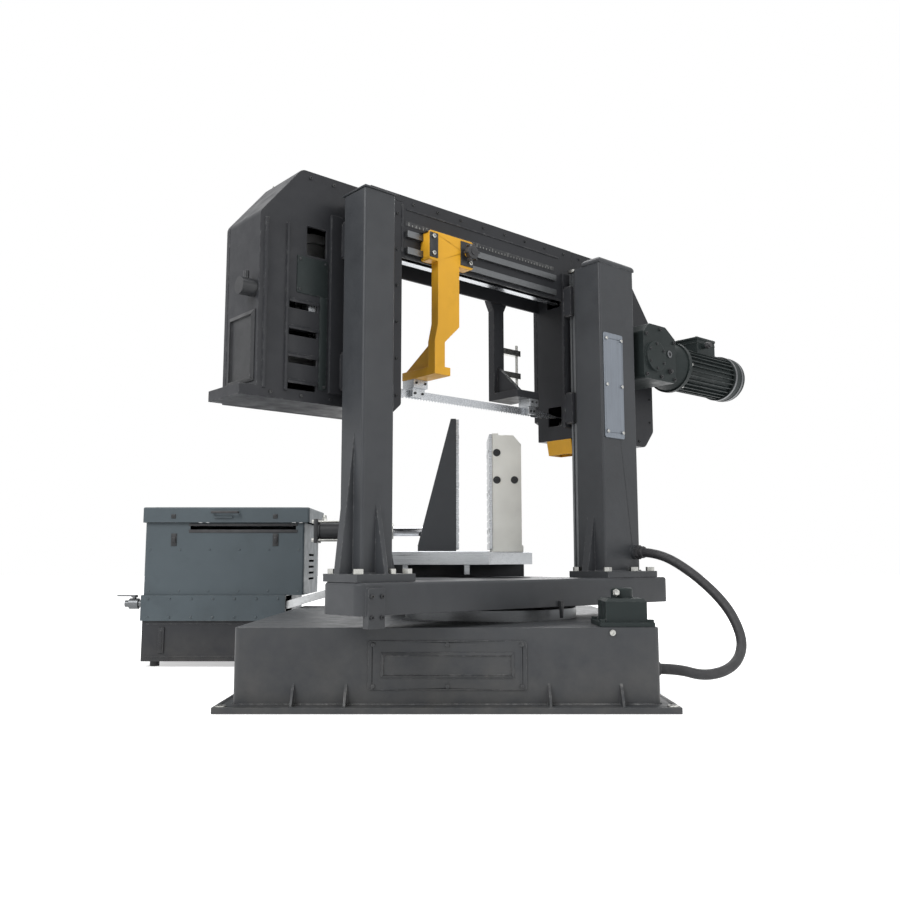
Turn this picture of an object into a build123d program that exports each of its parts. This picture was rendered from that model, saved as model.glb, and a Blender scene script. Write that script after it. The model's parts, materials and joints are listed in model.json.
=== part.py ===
from build123d import *
import math
import os

os.makedirs("parts", exist_ok=True)

# Twin column mitre band saw, millimetres, Z up, floor at Z = 0.
# X and Y are the base's; the origin is the mitre swivel axis at floor level.
# The saw head is drawn square to the base and then swung to the mitre angle of the rest pose.

# Clearances
RUN = 0.06  # radial, shaft or ring turning in its bore
GAP = 0.4  # between faces that slide past each other

# Mitre angle of the rest pose, degrees
MITRE = 41.0

# Base
BASE_X0, BASE_X1 = -1035.0, 630.0
BASE_Y0, BASE_Y1 = -720.0, 1000.0
BASE_H = 320.0
BASE_WALL = 12.0
BASE_TOP = 20.0
BASE_FLOOR = 10.0
FOOT_T = 25.0
FOOT_OUT = 65.0
ANCHOR_OUT = 35.0  # anchor hole centre outside the wall
ANCHOR_R = 11.0
LEVEL_R = 10.0

# Access cover on the base's front wall
COVER_X0, COVER_X1 = -510.0, 110.0
COVER_Z0, COVER_Z1 = 80.0, BASE_H - 50.0
COVER_LAP = 30.0
LEVEL_YS = (BASE_Y0 + 300.0, BASE_Y1 - 360.0)

# Slewing ring and swivel frame
RING_R_OUT = 400.0
RING_R_MID = RING_R_OUT - 80.0
RING_R_IN = RING_R_MID - 70.0
RING_H = 52.0
WELL_R = RING_R_IN - 100.0  # cable well through the base's top
FRAME_Z0 = BASE_H + RING_H + 8.0
FRAME_H = 120.0
FRAME_Z1 = FRAME_Z0 + FRAME_H
DISC_R = RING_R_OUT + 20.0
DISC_BORE = RING_R_IN - 50.0
BEAM_X0, BEAM_X1 = -1065.0, 800.0
BEAM_Y0, BEAM_Y1 = -440.0, -120.0
BEAM_END_Y = -188.0  # far edge of the beam's narrow left end
BEAM_WALL = 20.0

# Columns, in the saw head's own frame
COL_TOP = FRAME_Z1 + 1540.0
COL_FACE_Y = -200.0  # face that carries the rails
LCOL_X, LCOL_W, LCOL_D, LCOL_T = -920.0, 150.0, 150.0, 10.0
RCOL_X, RCOL_W, RCOL_D, RCOL_T = 532.5, 265.0, 170.0, 14.0
LIP_W, LIP_T = 60.0, 25.0
FOOTPLATE_T = 30.0
FOOT_Z = FRAME_Z1 + FOOTPLATE_T
FOOT_BACK = 10.0  # foot plate beyond the rail face
CAP_H = 32.0
RAIL_W, RAIL_H = 44.0, 35.0
RAIL_Z0, RAIL_Z1 = FRAME_Z1 + 45.0, COL_TOP - 10.0

# Band wheels and blade
WHEEL_R = 300.0
WHEEL_Z = COL_TOP - 420.0
IDLER_X, DRIVE_X = -990.0, 800.0
RIM_HALF = 22.0
FLANGE_R = WHEEL_R + 8.0
AXLE_R = 30.0
BAND_T, BAND_W = 1.3, 41.0
BAND_R = WHEEL_R + 0.3
CUT_Z = WHEEL_Z - BAND_R - BAND_T / 2  # middle of the cutting run
TWIST = ((-850.0, -560.0), (330.0, 530.0))  # where the band turns on edge and back
TOOTH, TOOTH_H = 17.0, 7.5

# Bow
HOUSE_Y0, HOUSE_Y1 = -130.0, 120.0
HOUSE_WALL = 10.0
HOUSE_BACK = 12.0
HOUSE_Z0 = WHEEL_Z - WHEEL_R - 125.0
RHOUSE_TOP = WHEEL_Z + WHEEL_R + 250.0
LHOUSE_TOP = RHOUSE_TOP - 30.0
LHOUSE_X0, LHOUSE_X1 = IDLER_X - WHEEL_R - 40.0, IDLER_X + WHEEL_R + 50.0
RHOUSE_X0, RHOUSE_X1 = DRIVE_X - WHEEL_R - 32.0, DRIVE_X + WHEEL_R + 30.0
SPINE_Z0, SPINE_WALL = RHOUSE_TOP - 280.0, 12.0
DOOR_CUT_X, DOOR_CUT_Z = 285.0, 108.0  # corner left out of the right door, so that it swings past the fixed jaw

# Blade guides
ARM_X0, ARM_X1 = -465.0, -375.0
FOOT_X0, FOOT_X1 = ARM_X0 - 40.0, ARM_X1 - 40.0  # foot of the moving arm and its guide block
FIXED_X0, FIXED_X1 = 150.0, 220.0
FGUIDE_X0, FGUIDE_X1 = FIXED_X0 + 88.0, FIXED_X1 + 88.0  # guide block on the fixed arm's foot
GRAIL_X0, GRAIL_X1 = LHOUSE_X1 + 15.0, 330.0
GRAIL_Z = (SPINE_Z0 + 15.0, SPINE_Z0 + 90.0)
GRAIL_H, GRAIL_T = 30.0, 20.0
GUIDE_Z = HOUSE_Z0 + 189.0  # underside of the arms' feet
GUIDE_FOOT = 37.0
BLADE_GAP = 0.35
BRUSH_X, BRUSH_Z = DRIVE_X - 240.0, HOUSE_Z0 + 69.0

# Drive
MOTOR_X0, MOTOR_L = DRIVE_X + 276.0, 484.0
MOTOR_Y, MOTOR_R = -280.0, 118.0
FAN_L = 110.0

# Bed and vise
PED_X0, PED_X1 = -500.0, 200.0
PED_Y0, PED_Y1 = 480.0, 940.0
PED_WALL = 15.0
BED_Z0 = BASE_H + 240.0
BED_Z1 = BED_Z0 + 65.0
JAW_TOP = BED_Z1 + 635.0
MOVING_TOP = JAW_TOP + 80.0
JAW_Y0, JAW_Y1 = 500.0, 820.0
FIXED_FACE = 20.0
MOVING_FACE = -142.0
PLATE_T = 15.0
JAW_FOOT = 165.0
KEY_Y, KEY_W, KEY_H = 660.0, 40.0, 25.0
CYL_Z = BED_Z1 + 115.0
VROD_R, VBORE_R, VBARREL_R = 28.0, 45.0, 55.0
BARREL_X0, BARREL_X1 = -925.0, -515.0

# Lift cylinder
LIFT_Y = -285.0
LROD_R, LBORE_R, LBARREL_R = 30.0, 42.0, 50.0
LUG_Z0 = COL_TOP - 50.0
LUG_H = 40.0
LGLAND_Z = HOUSE_Z0 + 67.0

# Hydraulic and coolant unit
UNIT_X0, UNIT_X1 = -1890.0, -1003.0
TANK_X1 = BASE_X0 - FOOT_OUT - 6.0  # just clear of the base's foot flange
UNIT_Y0, UNIT_Y1 = 745.0, 1295.0
TANK_Z0, TANK_Z1 = 30.0, 250.0
STEP_Z1 = BASE_H + 70.0
CAB_Z1 = STEP_Z1 + 400.0
LID_Z1 = CAB_Z1 + 85.0
SHEET = 4.0
LID_HINGE_XS = (UNIT_X0 + 140.0, UNIT_X1 - 167.0)
LID_HINGE_Y, LID_HINGE_Z = UNIT_Y1 + 37.0, CAB_Z1 + 10.0
RES_X0, RES_X1 = UNIT_X0 + 60.0, UNIT_X0 + 410.0
RES_Y0, RES_Y1 = UNIT_Y0 + 55.0, UNIT_Y1 - 65.0
RES_Z1 = STEP_Z1 + 190.0
PUMP_X, PUMP_Y = RES_X0 + 190.0, RES_Y0 + 220.0
DRAIN_X, DRAIN_Y, DRAIN_Z = UNIT_X0 - 70.0, UNIT_Y0 + 70.0, STEP_Z1 - 50.0

# Chip chute from the pedestal to the tank
CHUTE_X1 = TANK_X1 - 54.0
CHUTE_Y0, CHUTE_Y1 = 765.0, 935.0
CHUTE_Z0, CHUTE_Z1 = BED_Z0 - 74.0, BASE_H - 25.4
CHUTE_SIDE, CHUTE_T = 44.0, 3.0

# Mitre stop on the base's front corner: the beam comes to its screw at square cut
STOP_X, STOP_Y1 = BASE_X1 - 122.0, BEAM_Y0 - 1.0
STOP_Y0 = BASE_Y0 + 30.0

# Conduit between the base and the right column of the swivelling head
CONDUIT_R = 22.0
GLAND_X, GLAND_Y, GLAND_Z = RCOL_X + RCOL_W / 2 - 44.0, COL_FACE_Y - RCOL_D, 620.0
GLAND_L = 18.0
BASE_GLAND_Y, BASE_GLAND_Z, BASE_GLAND_L = -442.0, 130.0, 20.0
turn_c, turn_s = math.cos(math.radians(MITRE)), math.sin(math.radians(MITRE))


def head_point(x, y, z):
    return (x * turn_c - y * turn_s, x * turn_s + y * turn_c, z)


CONDUIT = [
    head_point(GLAND_X, GLAND_Y - GLAND_L, GLAND_Z), head_point(GLAND_X, GLAND_Y - GLAND_L - 120, GLAND_Z),
    (933, -68, 530), (1060, -166, 388), (1098, -263, 252), (1060, -350, 168), (982, -410, 116), (869, -440, 99),
    (765, BASE_GLAND_Y, BASE_GLAND_Z), (BASE_X1 + BASE_GLAND_L, BASE_GLAND_Y, BASE_GLAND_Z),
]


def block(x0, x1, y0, y1, z0, z1, mode=Mode.ADD):
    with Locations(((x0 + x1) / 2, (y0 + y1) / 2, (z0 + z1) / 2)):
        Box(x1 - x0, y1 - y0, z1 - z0, mode=mode)


def rod_x(x0, x1, y, z, r, mode=Mode.ADD):
    with Locations(Location(((x0 + x1) / 2, y, z), (0, 90, 0))):
        Cylinder(r, x1 - x0, mode=mode)


def rod_y(y0, y1, x, z, r, mode=Mode.ADD):
    with Locations(Location((x, (y0 + y1) / 2, z), (90, 0, 0))):
        Cylinder(r, y1 - y0, mode=mode)


def rod_z(z0, z1, x, y, r, mode=Mode.ADD):
    with Locations((x, y, (z0 + z1) / 2)):
        Cylinder(r, z1 - z0, mode=mode)


def slab_xz(points, y0, y1, mode=Mode.ADD, inset=0.0, bends=()):
    with BuildSketch(Plane(origin=(0, y1, 0), x_dir=(1, 0, 0), z_dir=(0, -1, 0))) as face:
        Polygon(*points, align=None)
        for corner, radius in bends:
            spot = points[corner]
            fillet(face.vertices().sort_by_distance((spot[0], spot[1], 0))[0], radius)
        if inset:
            offset(amount=-inset, kind=Kind.INTERSECTION, mode=Mode.REPLACE)
    extrude(face.sketch, amount=y1 - y0, mode=mode)


def slab_xy(points, z0, z1, mode=Mode.ADD):
    with BuildSketch(Plane.XY.offset(z0)) as face:
        Polygon(*points, align=None)
    extrude(face.sketch, amount=z1 - z0, mode=mode)


def hex_z(x, y, z0, z1, across, mode=Mode.ADD):
    with BuildSketch(Plane.XY.offset(z0)) as face:
        with Locations((x, y)):
            RegularPolygon(across / 2, 6, major_radius=False)
    extrude(face.sketch, amount=z1 - z0, mode=mode)


def named(part, label):
    part.label = label
    return part


def swung(part, label):
    turned = part.rotate(Axis.Z, MITRE)
    turned.label = label
    return turned


# Base body: welded box on a foot flange, with ribs inside
with BuildPart() as base_body:
    block(BASE_X0, BASE_X1, BASE_Y0, BASE_Y1, 0, BASE_H)
    fillet(base_body.edges().filter_by(Axis.Z), 25)
    block(BASE_X0 - FOOT_OUT, BASE_X1 + FOOT_OUT, BASE_Y0 - FOOT_OUT, BASE_Y1 + FOOT_OUT, 0, FOOT_T)
    block(BASE_X0 + BASE_WALL, BASE_X1 - BASE_WALL, BASE_Y0 + BASE_WALL, BASE_Y1 - BASE_WALL,
          BASE_FLOOR, BASE_H - BASE_TOP, Mode.SUBTRACT)
    for rib_x in (BASE_X0 + 515, 0):
        block(rib_x - 6, rib_x + 6, BASE_Y0 + 5, BASE_Y1 - 5, 0, BASE_H - 5)
    block(BASE_X0 + 5, BASE_X1 - 5, -6, 6, 0, BASE_H - 5)
    for gx in (BASE_X0 + 230, COVER_X0 - 90, COVER_X1 + 80, BASE_X1 - 160):
        slab = [(BASE_Y0 - FOOT_OUT + 8, FOOT_T - 1), (BASE_Y0 + 2, FOOT_T - 1), (BASE_Y0 + 2, 110)]
        with BuildSketch(Plane(origin=(gx, 0, 0), x_dir=(0, 1, 0), z_dir=(1, 0, 0))) as web:
            Polygon(*slab, align=None)
        extrude(web.sketch, amount=10)
    for ax in (BASE_X0 - ANCHOR_OUT, BASE_X1 + ANCHOR_OUT):
        for ay in (BASE_Y0 - ANCHOR_OUT, BASE_Y1 + ANCHOR_OUT):
            rod_z(-1, FOOT_T + 1, ax, ay, ANCHOR_R, Mode.SUBTRACT)
        for ay in LEVEL_YS:
            rod_z(-1, FOOT_T + 1, ax, ay, LEVEL_R, Mode.SUBTRACT)
    block(COVER_X0 + COVER_LAP, COVER_X1 - COVER_LAP, BASE_Y0 - 1, BASE_Y0 + BASE_WALL + 1,
          COVER_Z0 + COVER_LAP, COVER_Z1 - COVER_LAP, Mode.SUBTRACT)
    rod_z(BASE_H - BASE_TOP - 1, BASE_H + 1, 0, 0, WELL_R, Mode.SUBTRACT)
    rod_x(BASE_X1 - 1, BASE_X1 + BASE_GLAND_L, BASE_GLAND_Y, BASE_GLAND_Z, 34)
export_step(named(base_body.part, "base_body"), "parts/base_body.step")

# Levelling screws with lock nuts through the foot flange
with BuildPart() as levelling_screws:
    for ax in (BASE_X0 - ANCHOR_OUT, BASE_X1 + ANCHOR_OUT):
        for ay in LEVEL_YS:
            rod_z(1, 75, ax, ay, LEVEL_R - 0.3)
            hex_z(ax, ay, FOOT_T, FOOT_T + 16, 30)
            hex_z(ax, ay, 75, 88, 30)
export_step(named(levelling_screws.part, "levelling_screws"), "parts/levelling_screws.step")

# Access cover on the front wall
with BuildPart() as base_cover:
    block(COVER_X0, COVER_X1, BASE_Y0 - 4, BASE_Y0, COVER_Z0, COVER_Z1)
    fillet(base_cover.edges().filter_by(Axis.Y), 12)
    for sx in (COVER_X0 + 20, (COVER_X0 + COVER_X1) / 2, COVER_X1 - 20):
        for sz in (COVER_Z0 + 15, COVER_Z1 - 15):
            rod_y(BASE_Y0 - 9, BASE_Y0 - 4, sx, sz, 7)
export_step(named(base_cover.part, "base_cover"), "parts/base_cover.step")

# Slewing ring: outer race on the base, inner race under the swivel frame
with BuildPart() as slew_ring_outer:
    rod_z(BASE_H, BASE_H + RING_H, 0, 0, RING_R_OUT)
    rod_z(BASE_H - 1, BASE_H + RING_H + 1, 0, 0, RING_R_MID + RUN, Mode.SUBTRACT)
    chamfer(slew_ring_outer.edges().group_by(Axis.Z)[-1].sort_by(SortBy.LENGTH)[-1], 6)
export_step(named(slew_ring_outer.part, "slew_ring_outer"), "parts/slew_ring_outer.step")

with BuildPart() as slew_ring_inner:
    rod_z(BASE_H + 4, FRAME_Z0, 0, 0, RING_R_MID)
    rod_z(BASE_H, FRAME_Z0 + 1, 0, 0, RING_R_IN, Mode.SUBTRACT)
export_step(swung(slew_ring_inner.part, "slew_ring_inner"), "parts/slew_ring_inner.step")

# Pedestal behind the slewing ring that carries the bed
with BuildPart() as bed_pedestal:
    block(PED_X0, PED_X1, PED_Y0, PED_Y1, BASE_H, BED_Z0)
    block(PED_X0 - 40, PED_X1 + 35, PED_Y0, PED_Y1 + 35, BASE_H, BASE_H + 20)
    block(PED_X0 + PED_WALL, PED_X1 - PED_WALL, PED_Y0 + PED_WALL, PED_Y1 - PED_WALL, BASE_H - 1, BED_Z0 - 20,
          Mode.SUBTRACT)
    for px in (PED_X0 - 20, (PED_X0 + PED_X1) / 2, PED_X1 + 17):
        hex_z(px, PED_Y1 + 17, BASE_H + 20, BASE_H + 33, 30)
    for py in (PED_Y0 + 40, PED_Y0 + 240):
        hex_z(PED_X0 - 20, py, BASE_H + 20, BASE_H + 33, 30)
export_step(named(bed_pedestal.part, "bed_pedestal"), "parts/bed_pedestal.step")

# Bed: cut back so that the blade and its housings pass at every mitre angle
BED = [(-560, 100), (0, 100), (50, 330), (250, 550), (250, 950), (-620, 950), (-620, 200)]
with BuildPart() as vise_bed:
    slab_xy(BED, BED_Z0, BED_Z1)
    chamfer(vise_bed.edges().group_by(Axis.Z)[-1], 4)
    block(-650, 0, KEY_Y - KEY_W / 2, KEY_Y + KEY_W / 2, BED_Z1 - KEY_H, BED_Z1 + 1, Mode.SUBTRACT)
    for rx in (-420, -120):
        block(rx, rx + 25, 115, 480, FRAME_Z1 + 12, BED_Z0 + 1)
export_step(named(vise_bed.part, "vise_bed"), "parts/vise_bed.step")

# Mitre stop: block with a stop screw towards the beam and a round sensor housing on top
with BuildPart() as mitre_stop:
    block(STOP_X - 82, STOP_X + 82, STOP_Y0, STOP_Y1 - 58, BASE_H, BASE_H + 110)
    chamfer(mitre_stop.edges().group_by(Axis.Z)[-1], 12)
    block(STOP_X - 108, STOP_X + 108, STOP_Y0 - 22, STOP_Y1 - 30, BASE_H, BASE_H + 18)
    rod_z(BASE_H + 109, BASE_H + 150, STOP_X, (STOP_Y0 + STOP_Y1) / 2 - 30, 44)
    fillet(mitre_stop.edges().group_by(Axis.Z)[-1], 8)
    rod_y(STOP_Y1 - 60, STOP_Y1, STOP_X, BASE_H + 85, 13)
    rod_y(STOP_Y1 - 59, STOP_Y1 - 42, STOP_X, BASE_H + 85, 22)
    for bx in (STOP_X - 95, STOP_X + 95):
        for by in (STOP_Y0, STOP_Y1 - 52):
            hex_z(bx, by, BASE_H + 17, BASE_H + 29, 24)
export_step(named(mitre_stop.part, "mitre_stop"), "parts/mitre_stop.step")

# Fixed jaw: upright with two full-height ribs, and its grooved face plate
with BuildPart() as fixed_jaw:
    jaw_x = FIXED_FACE + PLATE_T
    heel = jaw_x + JAW_FOOT
    block(jaw_x, jaw_x + 35, JAW_Y0, JAW_Y1, BED_Z1, JAW_TOP)
    block(jaw_x, heel, JAW_Y0, JAW_Y1, BED_Z1, BED_Z1 + 35)
    rib = [(jaw_x + 34, BED_Z1 + 34), (heel - 8, BED_Z1 + 34), (heel - 8, JAW_TOP - 60),
           (heel - 50, JAW_TOP - 10), (jaw_x + 34, JAW_TOP - 10)]
    for ry in (JAW_Y0, JAW_Y1 - 28):
        slab_xz(rib, ry, ry + 28)
    block(jaw_x + 34, heel - 14, JAW_Y0 + 27, JAW_Y1 - 27, BED_Z1 + 300, BED_Z1 + 325)
    for hy in (JAW_Y0 + 90, JAW_Y0 + 160, JAW_Y0 + 230):
        hex_z(heel - 50, hy, BED_Z1 + 35, BED_Z1 + 50, 30)
export_step(named(fixed_jaw.part, "fixed_jaw"), "parts/fixed_jaw.step")


def grooves(x_face, side, top):
    count = 14
    step = (top - BED_Z1 - 60) / count
    for i in range(count):
        z = BED_Z1 + 45 + i * step
        points = [(x_face, z), (x_face, z + 12), (x_face + side * 4, z + 6)]
        slab_xz(points, JAW_Y0 - 6, JAW_Y1 + 6, Mode.SUBTRACT)


with BuildPart() as fixed_jaw_plate:
    block(FIXED_FACE, FIXED_FACE + PLATE_T, JAW_Y0 - 5, JAW_Y1 + 5, BED_Z1 + 15, JAW_TOP - 5)
    grooves(FIXED_FACE, 1, JAW_TOP)
export_step(named(fixed_jaw_plate.part, "fixed_jaw_plate"), "parts/fixed_jaw_plate.step")

# Moving jaw: triangular ribs behind an upright, keyed to the bed
with BuildPart() as moving_jaw:
    back = MOVING_FACE - PLATE_T
    block(back - 30, back, JAW_Y0, JAW_Y1, BED_Z1 + GAP, MOVING_TOP)
    block(back - 204, back, JAW_Y0, JAW_Y1, BED_Z1 + GAP, BED_Z1 + 36)
    for ry in (JAW_Y0, JAW_Y1 - 28):
        slab_xz([(back - 204, BED_Z1 + 35), (back - 29, BED_Z1 + 35), (back - 29, MOVING_TOP)], ry, ry + 28)
    block(back - 111, back - 29, JAW_Y0 + 20, JAW_Y1 - 20, BED_Z1 + 280, BED_Z1 + 305)
    block(back - 204, back, KEY_Y - KEY_W / 2 + GAP, KEY_Y + KEY_W / 2 - GAP,
          BED_Z1 - KEY_H + GAP, BED_Z1 + 5)
export_step(named(moving_jaw.part, "moving_jaw"), "parts/moving_jaw.step")

with BuildPart() as moving_jaw_plate:
    block(MOVING_FACE - PLATE_T, MOVING_FACE, JAW_Y0 - 5, JAW_Y1 + 5, BED_Z1 + 15, MOVING_TOP - 5)
    grooves(MOVING_FACE, -1, MOVING_TOP)
export_step(named(moving_jaw_plate.part, "moving_jaw_plate"), "parts/moving_jaw_plate.step")

# Vise cylinder on its bracket, with its rod and piston
with BuildPart() as vise_cylinder:
    rod_x(BARREL_X0, BARREL_X1, KEY_Y, CYL_Z, VBARREL_R)
    rod_x(BARREL_X0 - 4, BARREL_X0 + 26, KEY_Y, CYL_Z, VBARREL_R + 9)
    block(BARREL_X1 - 97, BARREL_X1 - 20, KEY_Y - 90, KEY_Y + 90, BED_Z1, CYL_Z + 70)
    block(BARREL_X1 - 103, BARREL_X1 - 85, KEY_Y - 110, KEY_Y + 110, BED_Z1, BED_Z1 + 30)
    rod_x(BARREL_X0 + 20, BARREL_X1 - 90, KEY_Y, CYL_Z, VBORE_R, Mode.SUBTRACT)
    rod_x(BARREL_X1 - 91, BARREL_X1 + 1, KEY_Y, CYL_Z, VROD_R + RUN, Mode.SUBTRACT)
export_step(named(vise_cylinder.part, "vise_cylinder"), "parts/vise_cylinder.step")

with BuildPart() as vise_rod:
    rod_x(BARREL_X1 - 275, MOVING_FACE - PLATE_T - 30, KEY_Y, CYL_Z, VROD_R)
    rod_x(BARREL_X1 - 277, BARREL_X1 - 237, KEY_Y, CYL_Z, VBORE_R - GAP)
    rod_x(MOVING_FACE - 80, MOVING_FACE - PLATE_T - 30, KEY_Y, CYL_Z, 46)
export_step(named(vise_rod.part, "vise_rod"), "parts/vise_rod.step")

# Coolant tank, the step over it, the cabinet with the power pack, and its lid
with BuildPart() as coolant_tank:
    block(UNIT_X0, TANK_X1, UNIT_Y0, UNIT_Y1, TANK_Z0, TANK_Z1)
    block(UNIT_X0 + SHEET, TANK_X1 - SHEET, UNIT_Y0 + SHEET, UNIT_Y1 - SHEET, TANK_Z0 + SHEET, TANK_Z1 + 1,
          Mode.SUBTRACT)
    for fx in (UNIT_X0 + 60, TANK_X1 - 74):
        for fy in (UNIT_Y0 + 60, UNIT_Y1 - 60):
            rod_z(0, TANK_Z0, fx, fy, 26)
export_step(named(coolant_tank.part, "coolant_tank"), "parts/coolant_tank.step")

# Brackets that tie the tank to the base's foot flange
with BuildPart() as tank_brackets:
    for by in (UNIT_Y0 + 60, UNIT_Y0 + 170):
        block(TANK_X1, TANK_X1 + 6, by, by + 60, FOOT_T, TANK_Z0 + 70)
        block(TANK_X1, BASE_X0 - 12, by, by + 60, FOOT_T, FOOT_T + 6)
        hex_z(BASE_X0 - ANCHOR_OUT, by + 30, FOOT_T + 6, FOOT_T + 16, 24)
export_step(named(tank_brackets.part, "tank_brackets"), "parts/tank_brackets.step")

with BuildPart() as tank_step:
    block(UNIT_X0 - 8, TANK_X1 + 6, UNIT_Y0 - 14, UNIT_Y1 + 6, TANK_Z1, STEP_Z1)
    block(UNIT_X0 - 2, TANK_X1, UNIT_Y0 - 8, UNIT_Y1, TANK_Z1 - 1, STEP_Z1 - 6, Mode.SUBTRACT)
    block(UNIT_X0 + 470, TANK_X1 - 20, UNIT_Y0 + 40, UNIT_Y1 - 60, STEP_Z1 - 10, STEP_Z1 + 1, Mode.SUBTRACT)
    block(TANK_X1 - 1, TANK_X1 + 7, CHUTE_Y0 - 7, CHUTE_Y1 + 7, BASE_H - 20, STEP_Z1 - 6, Mode.SUBTRACT)
    rod_x(UNIT_X0 - 9, UNIT_X0, DRAIN_Y, DRAIN_Z, 20, Mode.SUBTRACT)
export_step(named(tank_step.part, "tank_step"), "parts/tank_step.step")

with BuildPart() as unit_cabinet:
    block(UNIT_X0, UNIT_X1, UNIT_Y0, UNIT_Y1, STEP_Z1, CAB_Z1)
    fillet(unit_cabinet.edges().filter_by(Axis.Z), 12)
    block(UNIT_X0 + SHEET, UNIT_X1 - SHEET, UNIT_Y0 + SHEET, UNIT_Y1 - SHEET, STEP_Z1 + SHEET, CAB_Z1 + 1,
          Mode.SUBTRACT)
    block(UNIT_X0 + 20, TANK_X1 - 14, UNIT_Y0 + 30, UNIT_Y1 - 40, STEP_Z1 - 1, STEP_Z1 + SHEET + 1,
          Mode.SUBTRACT)
    block(UNIT_X0 + 250, UNIT_X1 - 47, UNIT_Y0 - 1, UNIT_Y0 + SHEET + 1, CAB_Z1 - 38, CAB_Z1 - 18,
          Mode.SUBTRACT)
    for i in range(5):
        lz = STEP_Z1 + 80 + i * 34
        block(UNIT_X1 - SHEET - 1, UNIT_X1 + 1, UNIT_Y0 + 180, UNIT_Y1 - 180, lz, lz + 12, Mode.SUBTRACT)
    for hx in LID_HINGE_XS:
        block(hx, hx + 60, UNIT_Y1, UNIT_Y1 + 5, LID_HINGE_Z - 55, LID_HINGE_Z + 5)
        block(hx, hx + 60, UNIT_Y1, LID_HINGE_Y, LID_HINGE_Z - 5, LID_HINGE_Z + 5)
        rod_x(hx, hx + 60, LID_HINGE_Y, LID_HINGE_Z, 12)
        rod_x(hx + 20, hx + 40, LID_HINGE_Y, LID_HINGE_Z, 14, Mode.SUBTRACT)
        block(hx + 19.5, hx + 40.5, UNIT_Y1 + 6, UNIT_Y1 + 60, LID_HINGE_Z - 20, LID_HINGE_Z + 30,
              Mode.SUBTRACT)
        rod_x(hx, hx + 60, LID_HINGE_Y, LID_HINGE_Z, 6)
export_step(named(unit_cabinet.part, "unit_cabinet"), "parts/unit_cabinet.step")

with BuildPart() as unit_lid:
    block(UNIT_X0 - 12, UNIT_X1 + 30, UNIT_Y0 - 22, UNIT_Y1 + 15, CAB_Z1 + GAP, LID_Z1)
    fillet(unit_lid.edges().filter_by(Axis.Z), 14)
    fillet(unit_lid.faces().sort_by(Axis.Z)[-1].edges(), 8)
    block(UNIT_X0 - 8, UNIT_X1 + 26, UNIT_Y0 - 18, UNIT_Y1 + 11, CAB_Z1 - 1, LID_Z1 - SHEET, Mode.SUBTRACT)
    for hx in LID_HINGE_XS:
        block(hx - 3, hx + 63, UNIT_Y1 + 8, UNIT_Y1 + 16, CAB_Z1 - 1, LID_HINGE_Z + 22, Mode.SUBTRACT)
        block(hx + 21, hx + 39, UNIT_Y1 + 10, UNIT_Y1 + 40, LID_HINGE_Z + 6, LID_HINGE_Z + 24)
        rod_x(hx + 21, hx + 39, LID_HINGE_Y, LID_HINGE_Z, 12)
        rod_x(hx + 20, hx + 40, LID_HINGE_Y, LID_HINGE_Z, 6 + RUN, Mode.SUBTRACT)
    block(UNIT_X0 + 390, UNIT_X0 + 490, UNIT_Y0 - 34, UNIT_Y0 - 22, CAB_Z1 + 25, CAB_Z1 + 37)
export_step(named(unit_lid.part, "unit_lid"), "parts/unit_lid.step")

with BuildPart() as hydraulic_reservoir:
    block(RES_X0, RES_X1, RES_Y0, RES_Y1, STEP_Z1, RES_Z1)
    fillet(hydraulic_reservoir.edges().filter_by(Axis.Z), 20)
    rod_z(RES_Z1, RES_Z1 + 25, RES_X0 + 50, RES_Y0 + 60, 24)
    block(RES_X0 + SHEET, RES_X1 - SHEET, RES_Y0 + SHEET, RES_Y1 - SHEET, STEP_Z1 + SHEET, RES_Z1 - SHEET,
          Mode.SUBTRACT)
    rod_z(RES_Z1 - 10, RES_Z1 + 26, RES_X0 + 50, RES_Y0 + 60, 18, Mode.SUBTRACT)
export_step(named(hydraulic_reservoir.part, "hydraulic_reservoir"), "parts/hydraulic_reservoir.step")

with BuildPart() as pump_motor:
    rod_z(RES_Z1, RES_Z1 + 15, PUMP_X, PUMP_Y, 100)
    rod_z(RES_Z1 + 15, RES_Z1 + 160, PUMP_X, PUMP_Y, 78)
    with Locations((PUMP_X, PUMP_Y, RES_Z1 + 80)):
        with PolarLocations(80, 16):
            Box(16, 5, 110)
    rod_z(RES_Z1 + 150, RES_Z1 + 195, PUMP_X, PUMP_Y, 88)
export_step(named(pump_motor.part, "pump_motor"), "parts/pump_motor.step")

with BuildPart() as drain_valve:
    rod_x(DRAIN_X - 50, UNIT_X0 - 4, DRAIN_Y, DRAIN_Z, 19)
    rod_x(UNIT_X0 - 24, UNIT_X0 - 8, DRAIN_Y, DRAIN_Z, 32)
    rod_x(DRAIN_X - 25, DRAIN_X + 25, DRAIN_Y, DRAIN_Z, 30)
    rod_z(DRAIN_Z, DRAIN_Z + 42, DRAIN_X, DRAIN_Y, 10)
    rod_x(DRAIN_X - 52, UNIT_X0 + 10, DRAIN_Y, DRAIN_Z, 12, Mode.SUBTRACT)
    rod_x(DRAIN_X - 25, DRAIN_X + 25, DRAIN_Y, DRAIN_Z, 26)
export_step(named(drain_valve.part, "drain_valve"), "parts/drain_valve.step")

with BuildPart() as drain_lever:
    rod_z(DRAIN_Z + 34, DRAIN_Z + 48, DRAIN_X, DRAIN_Y, 18)
    block(DRAIN_X - 95, DRAIN_X, DRAIN_Y - 10, DRAIN_Y + 10, DRAIN_Z + 40, DRAIN_Z + 48)
    rod_z(DRAIN_Z + 33, DRAIN_Z + 42.5, DRAIN_X, DRAIN_Y, 10 + RUN, Mode.SUBTRACT)
export_step(named(drain_lever.part, "drain_lever"), "parts/drain_lever.step")

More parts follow.
